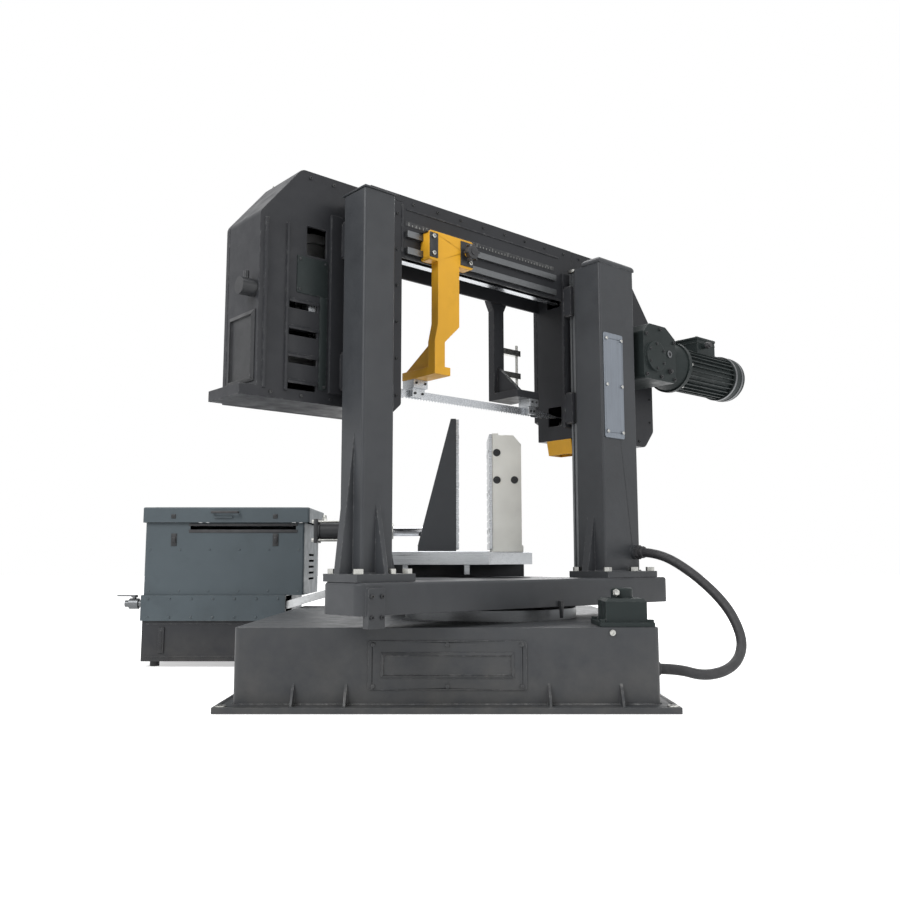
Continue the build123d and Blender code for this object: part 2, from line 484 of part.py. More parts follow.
# Chip chute from under the bed down to the tank
with BuildPart() as chip_chute:
    head, end = (PED_X0, CHUTE_Z0), (CHUTE_X1, CHUTE_Z1)
    bottom = [head, (PED_X0, CHUTE_Z0 + CHUTE_T), (CHUTE_X1, CHUTE_Z1 + CHUTE_T), end]
    side = [head, (PED_X0, CHUTE_Z0 + CHUTE_SIDE), (CHUTE_X1, CHUTE_Z1 + CHUTE_SIDE), end]
    slab_xz(bottom, CHUTE_Y0, CHUTE_Y1)
    slab_xz(side, CHUTE_Y0, CHUTE_Y0 + CHUTE_T)
    slab_xz(side, CHUTE_Y1 - CHUTE_T, CHUTE_Y1)
    block(PED_X0 - CHUTE_T, PED_X0, CHUTE_Y0 - 15, CHUTE_Y1, CHUTE_Z0 - 16, BED_Z0 - 8)
export_step(named(chip_chute.part, "chip_chute"), "parts/chip_chute.step")

# Conduit from the base to the swivelling head, straight runs joined by tangent arcs
radii = []
for i in range(1, len(CONDUIT) - 1):
    a = Vector(*CONDUIT[i]) - Vector(*CONDUIT[i - 1])
    b = Vector(*CONDUIT[i + 1]) - Vector(*CONDUIT[i])
    turn = math.radians(a.get_angle(b))
    radii.append(min(0.45 * min(a.length, b.length) / math.tan(turn / 2), 900.0))
print("conduit radii", [round(r) for r in radii])
with BuildPart() as swivel_conduit:
    with BuildLine() as route:
        FilletPolyline(*CONDUIT, radius=radii)
    with BuildSketch(Plane(origin=route.line @ 0, z_dir=route.line % 0)):
        Circle(CONDUIT_R)
    sweep(path=route.line)
print("conduit volume over section x length", swivel_conduit.part.volume / (
    math.pi * CONDUIT_R ** 2 * sum(e.length for e in route.edges())))
export_step(named(swivel_conduit.part, "swivel_conduit"), "parts/swivel_conduit.step")

# Swivel frame: disc on the slewing ring, the cross beam under both columns and a shoe at its left end
LX0, LX1 = LCOL_X - LCOL_W / 2, LCOL_X + LCOL_W / 2
LY0 = COL_FACE_Y - LCOL_D
BEAM = [(BEAM_X0, BEAM_Y0), (BEAM_X1, BEAM_Y0), (BEAM_X1, BEAM_Y1), (-DISC_R, BEAM_Y1),
        (LX1 + 75, BEAM_END_Y), (BEAM_X0, BEAM_END_Y)]
POCKET = [(BEAM_X0 + BEAM_WALL, BEAM_Y0 + BEAM_WALL), (-DISC_R - BEAM_WALL, BEAM_Y0 + BEAM_WALL),
          (-DISC_R - BEAM_WALL, BEAM_Y1 - 2 * BEAM_WALL), (LX1 + 70, BEAM_END_Y - BEAM_WALL),
          (BEAM_X0 + BEAM_WALL, BEAM_END_Y - BEAM_WALL)]
with BuildPart() as swivel_frame:
    slab_xy(BEAM, FRAME_Z0, FRAME_Z1)
    fillet(swivel_frame.edges().filter_by(Axis.Z), 40)
    rod_z(FRAME_Z0, FRAME_Z1, 0, 0, DISC_R)
    chamfer(swivel_frame.edges().group_by(Axis.Z)[-1], 8)
    rod_z(FRAME_Z0 - 1, FRAME_Z1 + 1, 0, 0, DISC_BORE, Mode.SUBTRACT)
    slab_xy(POCKET, FRAME_Z0 - 1, FRAME_Z1 - 25, Mode.SUBTRACT)
    block(DISC_R + BEAM_WALL, BEAM_X1 - BEAM_WALL, BEAM_Y0 + BEAM_WALL, BEAM_Y1 - BEAM_WALL, FRAME_Z0 - 1,
          FRAME_Z1 - 25, Mode.SUBTRACT)
    block(LCOL_X - 115, LCOL_X - 40, BEAM_Y0 - 14, BEAM_Y0 + BEAM_WALL, BASE_H + 14, FRAME_Z1 - 20)
export_step(swung(swivel_frame.part, "swivel_frame"), "parts/swivel_frame.step")

# Left column: square box section with a foot plate and a buttress
with BuildPart() as left_column:
    block(LX0, LX1, LY0, COL_FACE_Y, FRAME_Z1, COL_TOP)
    fillet(left_column.edges().filter_by(Axis.Z), 12)
    block(LX0 + LCOL_T, LX1 - LCOL_T, LY0 + LCOL_T, COL_FACE_Y - LCOL_T, FRAME_Z1 + 40, COL_TOP - 10,
          Mode.SUBTRACT)
    block(LX0 - 65, LX1 + 60, LY0 - 65, COL_FACE_Y + FOOT_BACK, FRAME_Z1, FOOT_Z)
    slab_xz([(LX0 + 1, FOOT_Z - 1), (LX0 + 1, FRAME_Z1 + 580), (LX0 - 60, FOOT_Z - 1)], LY0 + 55, LY0 + 95)
    slab_xz([(LX1 - 1, FOOT_Z - 1), (LX1 - 1, FRAME_Z1 + 260), (LX1 + 55, FOOT_Z - 1)], LY0 + 55, LY0 + 95)
    with BuildSketch(Plane(origin=(LCOL_X - 10, 0, 0), x_dir=(0, 1, 0), z_dir=(1, 0, 0))) as web:
        Polygon((LY0 + 1, FOOT_Z - 1), (LY0 + 1, FRAME_Z1 + 300), (LY0 - 60, FOOT_Z - 1), align=None)
    extrude(web.sketch, amount=20)
export_step(swung(left_column.part, "left_column"), "parts/left_column.step")

# Right column: channel open towards the bow, which hides the lift cylinder
RX0, RX1 = RCOL_X - RCOL_W / 2, RCOL_X + RCOL_W / 2
RY0 = COL_FACE_Y - RCOL_D
with BuildPart() as right_column:
    block(RX0, RX1, RY0, COL_FACE_Y, FRAME_Z1, COL_TOP)
    fillet(right_column.edges().filter_by(Axis.Z), 12)
    block(RX0 + RCOL_T, RX1 - RCOL_T, RY0 + RCOL_T, COL_FACE_Y - LIP_T, FRAME_Z1 + 40, COL_TOP + 1,
          Mode.SUBTRACT)
    block(RX0 + LIP_W, RX1 - LIP_W, RY0 + RCOL_T, COL_FACE_Y + 1, FRAME_Z1 + 40, COL_TOP + 1, Mode.SUBTRACT)
    block(RX0 - 55, RX1 + 55, RY0 - 60, COL_FACE_Y + FOOT_BACK, FRAME_Z1, FOOT_Z)
    slab_xz([(RX0 + 1, FOOT_Z - 1), (RX0 + 1, FRAME_Z1 + 300), (RX0 - 50, FOOT_Z - 1)], RY0 + 65, RY0 + 105)
    slab_xz([(RX1 - 1, FOOT_Z - 1), (RX1 - 1, FRAME_Z1 + 300), (RX1 + 50, FOOT_Z - 1)], RY0 + 65, RY0 + 105)
    block(RX0 - 4, RX1 + 4, RY0 - 4, COL_FACE_Y - LIP_T - 30, COL_TOP, COL_TOP + CAP_H)
    fillet(right_column.faces().sort_by(Axis.Z)[-1].edges(), CAP_H - 8)
    rod_y(GLAND_Y - GLAND_L, GLAND_Y + 1, GLAND_X, GLAND_Z, 34)
export_step(swung(right_column.part, "right_column"), "parts/right_column.step")

# Pale inspection plate over the lift cylinder
PANEL_X0, PANEL_X1 = RX0 + 14, RX0 + 160
PANEL_Z0, PANEL_Z1 = WHEEL_Z - 450, WHEEL_Z + 70
with BuildPart() as column_cover:
    block(PANEL_X0, PANEL_X1, RY0 - 6, RY0, PANEL_Z0, PANEL_Z1)
    fillet(column_cover.edges().filter_by(Axis.Y), 10)
    for sz in (PANEL_Z0 + 30, (PANEL_Z0 + PANEL_Z1) / 2, PANEL_Z1 - 30):
        for sx in (PANEL_X0 + 16, PANEL_X1 - 16):
            rod_y(RY0 - 11, RY0 - 6, sx, sz, 7)
export_step(swung(column_cover.part, "column_cover"), "parts/column_cover.step")

# Linear rails
RAIL_XS = (LCOL_X, RX0 + 32, RX1 - 32)


def rail(x):
    block(x - RAIL_W / 2, x + RAIL_W / 2, COL_FACE_Y, COL_FACE_Y + RAIL_H, RAIL_Z0, RAIL_Z1)
    for s in (-1, 1):
        edge = x + s * RAIL_W / 2
        block(edge - 5, edge + 5, COL_FACE_Y + 12, COL_FACE_Y + 24, RAIL_Z0 - 1, RAIL_Z1 + 1, Mode.SUBTRACT)


with BuildPart() as left_rail:
    rail(RAIL_XS[0])
export_step(swung(left_rail.part, "left_rail"), "parts/left_rail.step")

with BuildPart() as right_rails:
    rail(RAIL_XS[1])
    rail(RAIL_XS[2])
export_step(swung(right_rails.part, "right_rails"), "parts/right_rails.step")

# Foot bolts of both columns
with BuildPart() as column_bolts:
    for x0, x1, y0 in ((LX0 - 40, LX1 + 38, LY0 - 38), (RX0 - 30, RX1 + 30, RY0 - 35)):
        for bx in (x0, (x0 + x1) / 2 + 36, x1):
            hex_z(bx, y0, FOOT_Z, FOOT_Z + 19, 36)
        for bx in (x0, x1):
            hex_z(bx, COL_FACE_Y - 20, FOOT_Z, FOOT_Z + 19, 36)
export_step(swung(column_bolts.part, "column_bolts"), "parts/column_bolts.step")

# Lift cylinder in the right column, its rod on the bow
with BuildPart() as lift_cylinder:
    rod_z(FRAME_Z1 + 40, LGLAND_Z + 38, RCOL_X, LIFT_Y, LBARREL_R)
    rod_z(LGLAND_Z, LGLAND_Z + 42, RCOL_X, LIFT_Y, LBARREL_R + 8)
    rod_z(FRAME_Z1 + 58, LGLAND_Z + 10, RCOL_X, LIFT_Y, LBORE_R, Mode.SUBTRACT)
    rod_z(LGLAND_Z + 9, LGLAND_Z + 51, RCOL_X, LIFT_Y, LROD_R + RUN, Mode.SUBTRACT)
export_step(swung(lift_cylinder.part, "lift_cylinder"), "parts/lift_cylinder.step")

with BuildPart() as lift_rod:
    rod_z(LGLAND_Z - 22, LUG_Z0, RCOL_X, LIFT_Y, LROD_R)
    rod_z(LGLAND_Z - 21, LGLAND_Z + 6, RCOL_X, LIFT_Y, LBORE_R - GAP)
export_step(swung(lift_rod.part, "lift_rod"), "parts/lift_rod.step")

# Bow carriages: plates with bearing blocks that straddle the rails
BLOCK_Z = ((HOUSE_Z0 + 70, HOUSE_Z0 + 210), (COL_TOP - 230, COL_TOP - 90))
BLOCK_Y0, PLATE_Y0 = COL_FACE_Y + 8, HOUSE_Y0 - 15


def bearing_blocks(x):
    for z0, z1 in BLOCK_Z:
        block(x - 45, x + 45, BLOCK_Y0, PLATE_Y0, z0, z1)
        block(x - RAIL_W / 2 - GAP, x + RAIL_W / 2 + GAP, BLOCK_Y0 - 1, COL_FACE_Y + RAIL_H + GAP,
              z0 - 1, z1 + 1,
              Mode.SUBTRACT)


with BuildPart() as left_carriage:
    block(LCOL_X - 95, LCOL_X + 95, PLATE_Y0, HOUSE_Y0, HOUSE_Z0 + 45, COL_TOP - 60)
    bearing_blocks(RAIL_XS[0])
export_step(swung(left_carriage.part, "left_carriage"), "parts/left_carriage.step")

with BuildPart() as right_carriage:
    block(RX0 - 14, RX1 + 14, PLATE_Y0, HOUSE_Y0, HOUSE_Z0 + 45, COL_TOP - 5)
    bearing_blocks(RAIL_XS[1])
    bearing_blocks(RAIL_XS[2])
    block(RCOL_X - 34, RCOL_X + 34, LIFT_Y - 45, PLATE_Y0 + 1, LUG_Z0, LUG_Z0 + LUG_H)
export_step(swung(right_carriage.part, "right_carriage"), "parts/right_carriage.step")

# Bow: spine and two wheel housings
LHOUSE = [(LHOUSE_X0 + 180, LHOUSE_TOP), (LHOUSE_X1, LHOUSE_TOP), (LHOUSE_X1, HOUSE_Z0 + 45),
          (LHOUSE_X1 - 50, HOUSE_Z0), (LHOUSE_X0, HOUSE_Z0), (LHOUSE_X0, LHOUSE_TOP - 220)]
RHOUSE = [(RHOUSE_X0, RHOUSE_TOP), (RHOUSE_X1 - 230, RHOUSE_TOP), (RHOUSE_X1, RHOUSE_TOP - 290),
          (RHOUSE_X1, HOUSE_Z0 + 90), (RHOUSE_X1 - 75, HOUSE_Z0), (RHOUSE_X0, HOUSE_Z0)]
RDOOR = RHOUSE[:5] + [(RHOUSE_X0 + DOOR_CUT_X, HOUSE_Z0), (RHOUSE_X0, HOUSE_Z0 + DOOR_CUT_Z)]
LBENDS = ((0, 40), (3, 20), (2, 20), (5, 40))  # outline corner and its bend radius
RBENDS = ((1, 60), (2, 60), (3, 40), (4, 40))


def housing(outline, bends, inner_x):
    slab_xz(outline, HOUSE_Y0, HOUSE_Y1, bends=bends)
    slab_xz(outline, HOUSE_Y0 + HOUSE_BACK, HOUSE_Y1 + 1, Mode.SUBTRACT, inset=HOUSE_WALL, bends=bends)
    top = WHEEL_Z + BAND_R
    block(inner_x - 15, inner_x + 15, -45, 45, top - 25, top + 27, Mode.SUBTRACT)
    block(inner_x - 15, inner_x + 15, -45, 45, CUT_Z - 50, CUT_Z + 50, Mode.SUBTRACT)


with BuildPart() as left_housing:
    housing(LHOUSE, LBENDS, LHOUSE_X1)
    block(LHOUSE_X0 - 72, LHOUSE_X0 + 5, HOUSE_Y0, HOUSE_Y1, HOUSE_Z0, HOUSE_Z0 + 42)
    for sz in (HOUSE_Z0 + 45, HOUSE_Z0 + 149, HOUSE_Z0 + 260, HOUSE_Z0 + 368):
        block(IDLER_X - 205, IDLER_X - 78, HOUSE_Y0 - 1, HOUSE_Y0 + HOUSE_BACK + 1, sz, sz + 34,
              Mode.SUBTRACT)
    block(IDLER_X - 130, IDLER_X - 40, HOUSE_Y0 - 1, HOUSE_Y0 + HOUSE_BACK + 1, WHEEL_Z + 170, WHEEL_Z + 290,
          Mode.SUBTRACT)
    for sz in (-130, 96):
        block(IDLER_X - 220, LHOUSE_X1 - 60, HOUSE_Y0 + HOUSE_BACK - 1, -66, WHEEL_Z + sz, WHEEL_Z + sz + 34)
    for fx in (LHOUSE_X0 + 20, LHOUSE_X0 + 115):
        block(fx, fx + 14, HOUSE_Y0 - 10, HOUSE_Y0 + 1, HOUSE_Z0 + 35, LHOUSE_TOP - 240)
    rod_x(LHOUSE_X0 - 1, LHOUSE_X0 + 12, -88, WHEEL_Z, 26 + RUN, Mode.SUBTRACT)
export_step(swung(left_housing.part, "left_housing"), "parts/left_housing.step")

with BuildPart() as right_housing:
    housing(RHOUSE, RBENDS, RHOUSE_X0)
    rod_y(HOUSE_Y0 - 1, HOUSE_Y0 + HOUSE_BACK + 1, DRIVE_X, WHEEL_Z, 78, Mode.SUBTRACT)
    rod_y(HOUSE_Y0 - 1, HOUSE_Y0 + HOUSE_BACK + 1, BRUSH_X, BRUSH_Z, 10 + RUN, Mode.SUBTRACT)
    block(RHOUSE_X0 + 20, RHOUSE_X0 + 130, -95, 50, HOUSE_Z0 - 1, HOUSE_Z0 + HOUSE_WALL + 1, Mode.SUBTRACT)
    slab_xz([(RHOUSE_X0, HOUSE_Z0), (RHOUSE_X0 + DOOR_CUT_X + 16, HOUSE_Z0), (RHOUSE_X0, HOUSE_Z0 + DOOR_CUT_Z + 6)],
            HOUSE_Y1 - 10, HOUSE_Y1)
export_step(swung(right_housing.part, "right_housing"), "parts/right_housing.step")

with BuildPart() as bow_spine:
    block(LHOUSE_X1, RHOUSE_X0, HOUSE_Y0, HOUSE_Y1, SPINE_Z0, RHOUSE_TOP)
    block(LHOUSE_X1 - 1, RHOUSE_X0 + 1, HOUSE_Y0 + SPINE_WALL, HOUSE_Y1 - SPINE_WALL, SPINE_Z0 - 1,
          RHOUSE_TOP - SPINE_WALL, Mode.SUBTRACT)
    for wx in (-420, -60, 300):
        block(wx, wx + 12, HOUSE_Y0 + 5, HOUSE_Y1 - 5, SPINE_Z0 + 70, RHOUSE_TOP - 5)
    block(LHOUSE_X1 - 10, LHOUSE_X1 + 2, HOUSE_Y0, HOUSE_Y1, LHOUSE_TOP, RHOUSE_TOP)
    block(LHOUSE_X1 - 170, LHOUSE_X1, HOUSE_Y0, 40, LHOUSE_TOP, RHOUSE_TOP)
export_step(swung(bow_spine.part, "bow_spine"), "parts/bow_spine.step")

# Idler: slide with its axle and tension rod, tension cylinder and wheel
with BuildPart() as idler_slide:
    block(IDLER_X - 110, IDLER_X + 110, HOUSE_Y0 + HOUSE_BACK + GAP, -66, WHEEL_Z - 96 + GAP,
          WHEEL_Z + 96 - GAP)
    rod_x(LHOUSE_X0 + 40, IDLER_X - 109, -88, WHEEL_Z, 14)
    rod_y(-67, 58, IDLER_X, WHEEL_Z, AXLE_R)
    rod_y(-67, -50, IDLER_X, WHEEL_Z, 46)
    rod_y(48, 58, IDLER_X, WHEEL_Z, 46)
export_step(swung(idler_slide.part, "idler_slide"), "parts/idler_slide.step")

with BuildPart() as tension_cylinder:
    rod_x(LHOUSE_X0 - 50, LHOUSE_X0 + 115, -88, WHEEL_Z, 26)
    rod_x(LHOUSE_X0 - 62, LHOUSE_X0, -88, WHEEL_Z, 34)
    rod_x(LHOUSE_X0 + 20, LHOUSE_X0 + 116, -88, WHEEL_Z, 14 + RUN, Mode.SUBTRACT)
    rod_z(WHEEL_Z + 20, WHEEL_Z + 62, LHOUSE_X0 - 32, -88, 11)
export_step(swung(tension_cylinder.part, "tension_cylinder"), "parts/tension_cylinder.step")


def wheel(x, bore, hub_y0, hub_y1):
    rod_y(-RIM_HALF, RIM_HALF, x, WHEEL_Z, WHEEL_R)
    rod_y(-RIM_HALF - 8, -RIM_HALF, x, WHEEL_Z, FLANGE_R)
    for y0, y1 in ((-RIM_HALF - 9, -9), (9, RIM_HALF + 1)):
        rod_y(y0, y1, x, WHEEL_Z, WHEEL_R - 28, Mode.SUBTRACT)
    rod_y(hub_y0, hub_y1, x, WHEEL_Z, 68)
    with Locations(Location((x, 0, WHEEL_Z), (90, 0, 0))):
        with PolarLocations(170, 6):
            Cylinder(62, 40, mode=Mode.SUBTRACT)
    rod_y(hub_y0 - 1, hub_y1 + 1, x, WHEEL_Z, bore, Mode.SUBTRACT)


with BuildPart() as idler_wheel:
    wheel(IDLER_X, AXLE_R + RUN, -45, 45)
export_step(swung(idler_wheel.part, "idler_wheel"), "parts/idler_wheel.step")

with BuildPart() as drive_wheel:
    wheel(DRIVE_X, AXLE_R + 10, -60, 45)
export_step(swung(drive_wheel.part, "drive_wheel"), "parts/drive_wheel.step")

with BuildPart() as drive_shaft:
    rod_y(-320, 50, DRIVE_X, WHEEL_Z, AXLE_R + 10)
    rod_y(45, 58, DRIVE_X, WHEEL_Z, 56)
    rod_y(-75, -60, DRIVE_X, WHEEL_Z, 58)
export_step(swung(drive_shaft.part, "drive_shaft"), "parts/drive_shaft.step")

# Band blade: round both wheels, turned on edge through the cut, toothed between the guides
with BuildPart() as band_blade:
    for x, keep in ((IDLER_X, (-1, 0)), (DRIVE_X, (0, 1))):
        with BuildPart(mode=Mode.PRIVATE) as hoop:
            rod_y(-BAND_W / 2, BAND_W / 2, x, WHEEL_Z, BAND_R + BAND_T)
            rod_y(-BAND_W / 2 - 1, BAND_W / 2 + 1, x, WHEEL_Z, BAND_R, Mode.SUBTRACT)
            block(x + keep[0] * 400, x + keep[1] * 400, -40, 40, WHEEL_Z - 400, WHEEL_Z + 400, Mode.INTERSECT)
        add(hoop.part)
    block(IDLER_X, DRIVE_X, -BAND_W / 2, BAND_W / 2, WHEEL_Z + BAND_R, WHEEL_Z + BAND_R + BAND_T)
    block(IDLER_X, TWIST[0][0], -BAND_W / 2, BAND_W / 2, CUT_Z - BAND_T / 2, CUT_Z + BAND_T / 2)
    block(TWIST[1][1], DRIVE_X, -BAND_W / 2, BAND_W / 2, CUT_Z - BAND_T / 2, CUT_Z + BAND_T / 2)
    for (tx0, tx1), first in ((TWIST[0], 0), (TWIST[1], 90)):
        sections = []
        for i in range(9):
            turn = math.radians(first + (90 if first == 0 else -90) * i / 8)
            spot = Plane(origin=(tx0 + (tx1 - tx0) * i / 8, 0, CUT_Z),
                         x_dir=(0, math.cos(turn), math.sin(turn)), z_dir=(1, 0, 0))
            with BuildSketch(spot, mode=Mode.PRIVATE) as cut:
                Rectangle(BAND_W, BAND_T)
            sections.append(cut.sketch.face())
        loft(sections, ruled=True)
    top, low = CUT_Z + BAND_W / 2, CUT_Z - BAND_W / 2
    run = [(TWIST[1][0], top), (TWIST[0][1], top), (TWIST[0][1], low), (TWIST[0][1] + 30, low)]
    teeth = int((TWIST[1][0] - TWIST[0][1] - 60) // TOOTH)
    for i in range(teeth):
        x = TWIST[0][1] + 30 + i * TOOTH
        run += [(x + TOOTH * 0.45, low + TOOTH_H), (x + TOOTH * 0.9, low + TOOTH_H * 0.7), (x + TOOTH, low)]
    run.append((TWIST[1][0], low))
    slab_xz(run, -BAND_T / 2, BAND_T / 2)
export_step(swung(band_blade.part, "band_blade"), "parts/band_blade.step")

# Guide rails on the spine and the two guide arms
with BuildPart() as guide_rails:
    for gz in GRAIL_Z:
        block(GRAIL_X0, GRAIL_X1, HOUSE_Y0 - GRAIL_T, HOUSE_Y0, gz, gz + GRAIL_H)
export_step(swung(guide_rails.part, "guide_rails"), "parts/guide_rails.step")

SADDLE_X0, SADDLE_X1 = ARM_X0 - 75, ARM_X1 + 95
SADDLE_Z0, SADDLE_Z1 = GRAIL_Z[0] - 14, GRAIL_Z[1] + GRAIL_H + 14
KNOB_X, KNOB_Z = ARM_X1 + 55, (SADDLE_Z0 + SADDLE_Z1) / 2
ARM_OUT = HOUSE_Y0 - 62  # front face of the saddle and the arm
FOOT_TOP = GUIDE_Z + GUIDE_FOOT
with BuildPart() as moving_guide_arm:
    block(SADDLE_X0, SADDLE_X1, ARM_OUT, HOUSE_Y0 - 2, SADDLE_Z0, SADDLE_Z1)
    fillet(moving_guide_arm.edges().filter_by(Axis.Y), 14)
    for gz in GRAIL_Z:
        block(SADDLE_X0 - 5, SADDLE_X1 + 5, HOUSE_Y0 - GRAIL_T - GAP, HOUSE_Y0, gz - GAP, gz + GRAIL_H + GAP,
              Mode.SUBTRACT)
    slab_xz([(ARM_X0 - 22, SADDLE_Z0 + 8), (ARM_X1 + 12, SADDLE_Z0 + 8), (ARM_X1 + 12, FOOT_TOP + 190),
             (FOOT_X0 + 58, FOOT_TOP + 110), (FOOT_X0 + 58, FOOT_TOP - 1), (FOOT_X0, FOOT_TOP - 1),
             (FOOT_X0, FOOT_TOP + 110), (ARM_X0 - 22, FOOT_TOP + 190)], ARM_OUT, HOUSE_Y0 - 14)
    block(FOOT_X0, FOOT_X1, ARM_OUT, 40, GUIDE_Z, FOOT_TOP)
    with BuildSketch(Plane(origin=(FOOT_X0 + 14, 0, 0), x_dir=(0, 1, 0), z_dir=(1, 0, 0))) as web:
        Polygon((HOUSE_Y0 - 15, FOOT_TOP - 1), (HOUSE_Y0 - 15, FOOT_TOP + 109), (30, FOOT_TOP - 1),
                align=None)
    extrude(web.sketch, amount=30)
    rod_y(ARM_OUT - 30, ARM_OUT + 1, KNOB_X, KNOB_Z, 12)
    rod_y(ARM_OUT - 48, ARM_OUT - 28, KNOB_X, KNOB_Z, 30)
export_step(swung(moving_guide_arm.part, "moving_guide_arm"), "parts/moving_guide_arm.step")


def guide_block(x0, x1, z_top):
    back = CUT_Z + BAND_W / 2
    block(x0 + 4, x1 - 4, -40, 40, back + 6, z_top)
    for s in (-1, 1):
        y0, y1 = sorted((s * (BAND_T / 2 + BLADE_GAP), s * 26))
        block(x0 + 10, x1 - 10, y0, y1, back - 32, back + 7)
    block(x0 + 10, x1 - 10, -20, 20, back + BLADE_GAP, back + 7)


with BuildPart() as moving_guide_block:
    guide_block(FOOT_X0, FOOT_X1, GUIDE_Z)
export_step(swung(moving_guide_block.part, "moving_guide_block"), "parts/moving_guide_block.step")

with BuildPart() as fixed_guide_arm:
    slab_xz([(FIXED_X0 - 25, SPINE_Z0 + 170), (FIXED_X1 + 25, SPINE_Z0 + 170), (FIXED_X1 + 25, SPINE_Z0 + 10),
             (FIXED_X1, SPINE_Z0 - 40), (FIXED_X1, GUIDE_Z), (FIXED_X0, GUIDE_Z), (FIXED_X0, SPINE_Z0 - 40),
             (FIXED_X0 - 25, SPINE_Z0 + 10)], HOUSE_Y1, HOUSE_Y1 + 42)
    block(FIXED_X0, FGUIDE_X1, -40, HOUSE_Y1 + 42, GUIDE_Z, FOOT_TOP)
    with BuildSketch(Plane(origin=(FIXED_X0 + 22, 0, 0), x_dir=(0, 1, 0), z_dir=(1, 0, 0))) as web:
        Polygon((HOUSE_Y1 + 1, FOOT_TOP - 1), (HOUSE_Y1 + 1, FOOT_TOP + 139), (-30, FOOT_TOP - 1), align=None)
    extrude(web.sketch, amount=26)
    for bx in (FIXED_X0 - 5, FIXED_X1 + 5):
        for bz in (SPINE_Z0 + 40, SPINE_Z0 + 140):
            rod_y(HOUSE_Y1 + 41, HOUSE_Y1 + 54, bx, bz, 12)
export_step(swung(fixed_guide_arm.part, "fixed_guide_arm"), "parts/fixed_guide_arm.step")

with BuildPart() as fixed_guide_block:
    guide_block(FGUIDE_X0, FGUIDE_X1, GUIDE_Z)
export_step(swung(fixed_guide_block.part, "fixed_guide_block"), "parts/fixed_guide_block.step")

# Coolant pipe to the fixed guide
PIPE_X, PIPE_Y = FGUIDE_X1 + 30, HOUSE_Y1 + 26
with BuildPart() as coolant_pipe:
    with BuildLine() as run_line:
        FilletPolyline((PIPE_X, PIPE_Y, GUIDE_Z + 316), (PIPE_X, PIPE_Y, GUIDE_Z + 96),
                       (PIPE_X, 70, GUIDE_Z + 26), (PIPE_X - 18, 48, GUIDE_Z - 19), radius=[40, 26])
    with BuildSketch(Plane(origin=run_line.line @ 0, z_dir=run_line.line % 0)):
        Circle(7)
    sweep(path=run_line.line)
    for clip_z in (GUIDE_Z + 136, GUIDE_Z + 256):
        block(FIXED_X1, PIPE_X + 12, PIPE_Y - 18, PIPE_Y + 12, clip_z, clip_z + 30)
export_step(swung(coolant_pipe.part, "coolant_pipe"), "parts/coolant_pipe.step")

# Chip brush with its spindle in the right housing, and the deflector below
with BuildPart() as chip_brush:
    rod_y(-24, 24, BRUSH_X, BRUSH_Z, 44)
    with Locations(Location((BRUSH_X, 0, BRUSH_Z), (90, 0, 0))):
        with PolarLocations(45, 24):
            Box(8, 5, 40)
    rod_y(HOUSE_Y0 + 1, 30, BRUSH_X, BRUSH_Z, 10)
    rod_y(HOUSE_Y0 + HOUSE_BACK + GAP, -100, BRUSH_X, BRUSH_Z, 18)
export_step(swung(chip_brush.part, "chip_brush"), "parts/chip_brush.step")

with BuildPart() as chip_deflector:
    slab_xz([(RHOUSE_X0, HOUSE_Z0), (RHOUSE_X0 + 150, HOUSE_Z0), (RHOUSE_X0 + 110, HOUSE_Z0 - 75),
             (RHOUSE_X0 + 15, HOUSE_Z0 - 75)], -105, 60)
    slab_xz([(RHOUSE_X0 + 4, HOUSE_Z0 + 1), (RHOUSE_X0 + 146, HOUSE_Z0 + 1), (RHOUSE_X0 + 106, HOUSE_Z0 - 76),
             (RHOUSE_X0 + 19, HOUSE_Z0 - 76)], -101, 56, Mode.SUBTRACT)
export_step(swung(chip_deflector.part, "chip_deflector"), "parts/chip_deflector.step")

# Drive: right-angle gearbox on the right housing and a finned motor
GEAR_Y0, GEAR_Y1 = HOUSE_Y0 - 262, HOUSE_Y0 - 12
with BuildPart() as gearbox:
    slab_xz([(DRIVE_X - 90, WHEEL_Z - 120), (DRIVE_X + 185, WHEEL_Z - 120), (DRIVE_X + 185, WHEEL_Z + 115),
             (DRIVE_X + 100, WHEEL_Z + 170), (DRIVE_X - 40, WHEEL_Z + 170), (DRIVE_X - 90, WHEEL_Z + 120)],
            GEAR_Y0, GEAR_Y1)
    fillet(gearbox.edges().filter_by(Axis.Y), 24)
    rod_y(GEAR_Y1 - 1, HOUSE_Y0, DRIVE_X, WHEEL_Z, 88)
    rod_y(GEAR_Y0 - 16, GEAR_Y0 + 1, DRIVE_X, WHEEL_Z, 78)
    with Locations(Location((MOTOR_X0 - 46, MOTOR_Y, WHEEL_Z), (0, 90, 0))):
        Cone(100, MOTOR_R + 10, 92)
    rod_y(-321, HOUSE_Y0 + 1, DRIVE_X, WHEEL_Z, AXLE_R + 10 + RUN, Mode.SUBTRACT)
export_step(swung(gearbox.part, "gearbox"), "parts/gearbox.step")

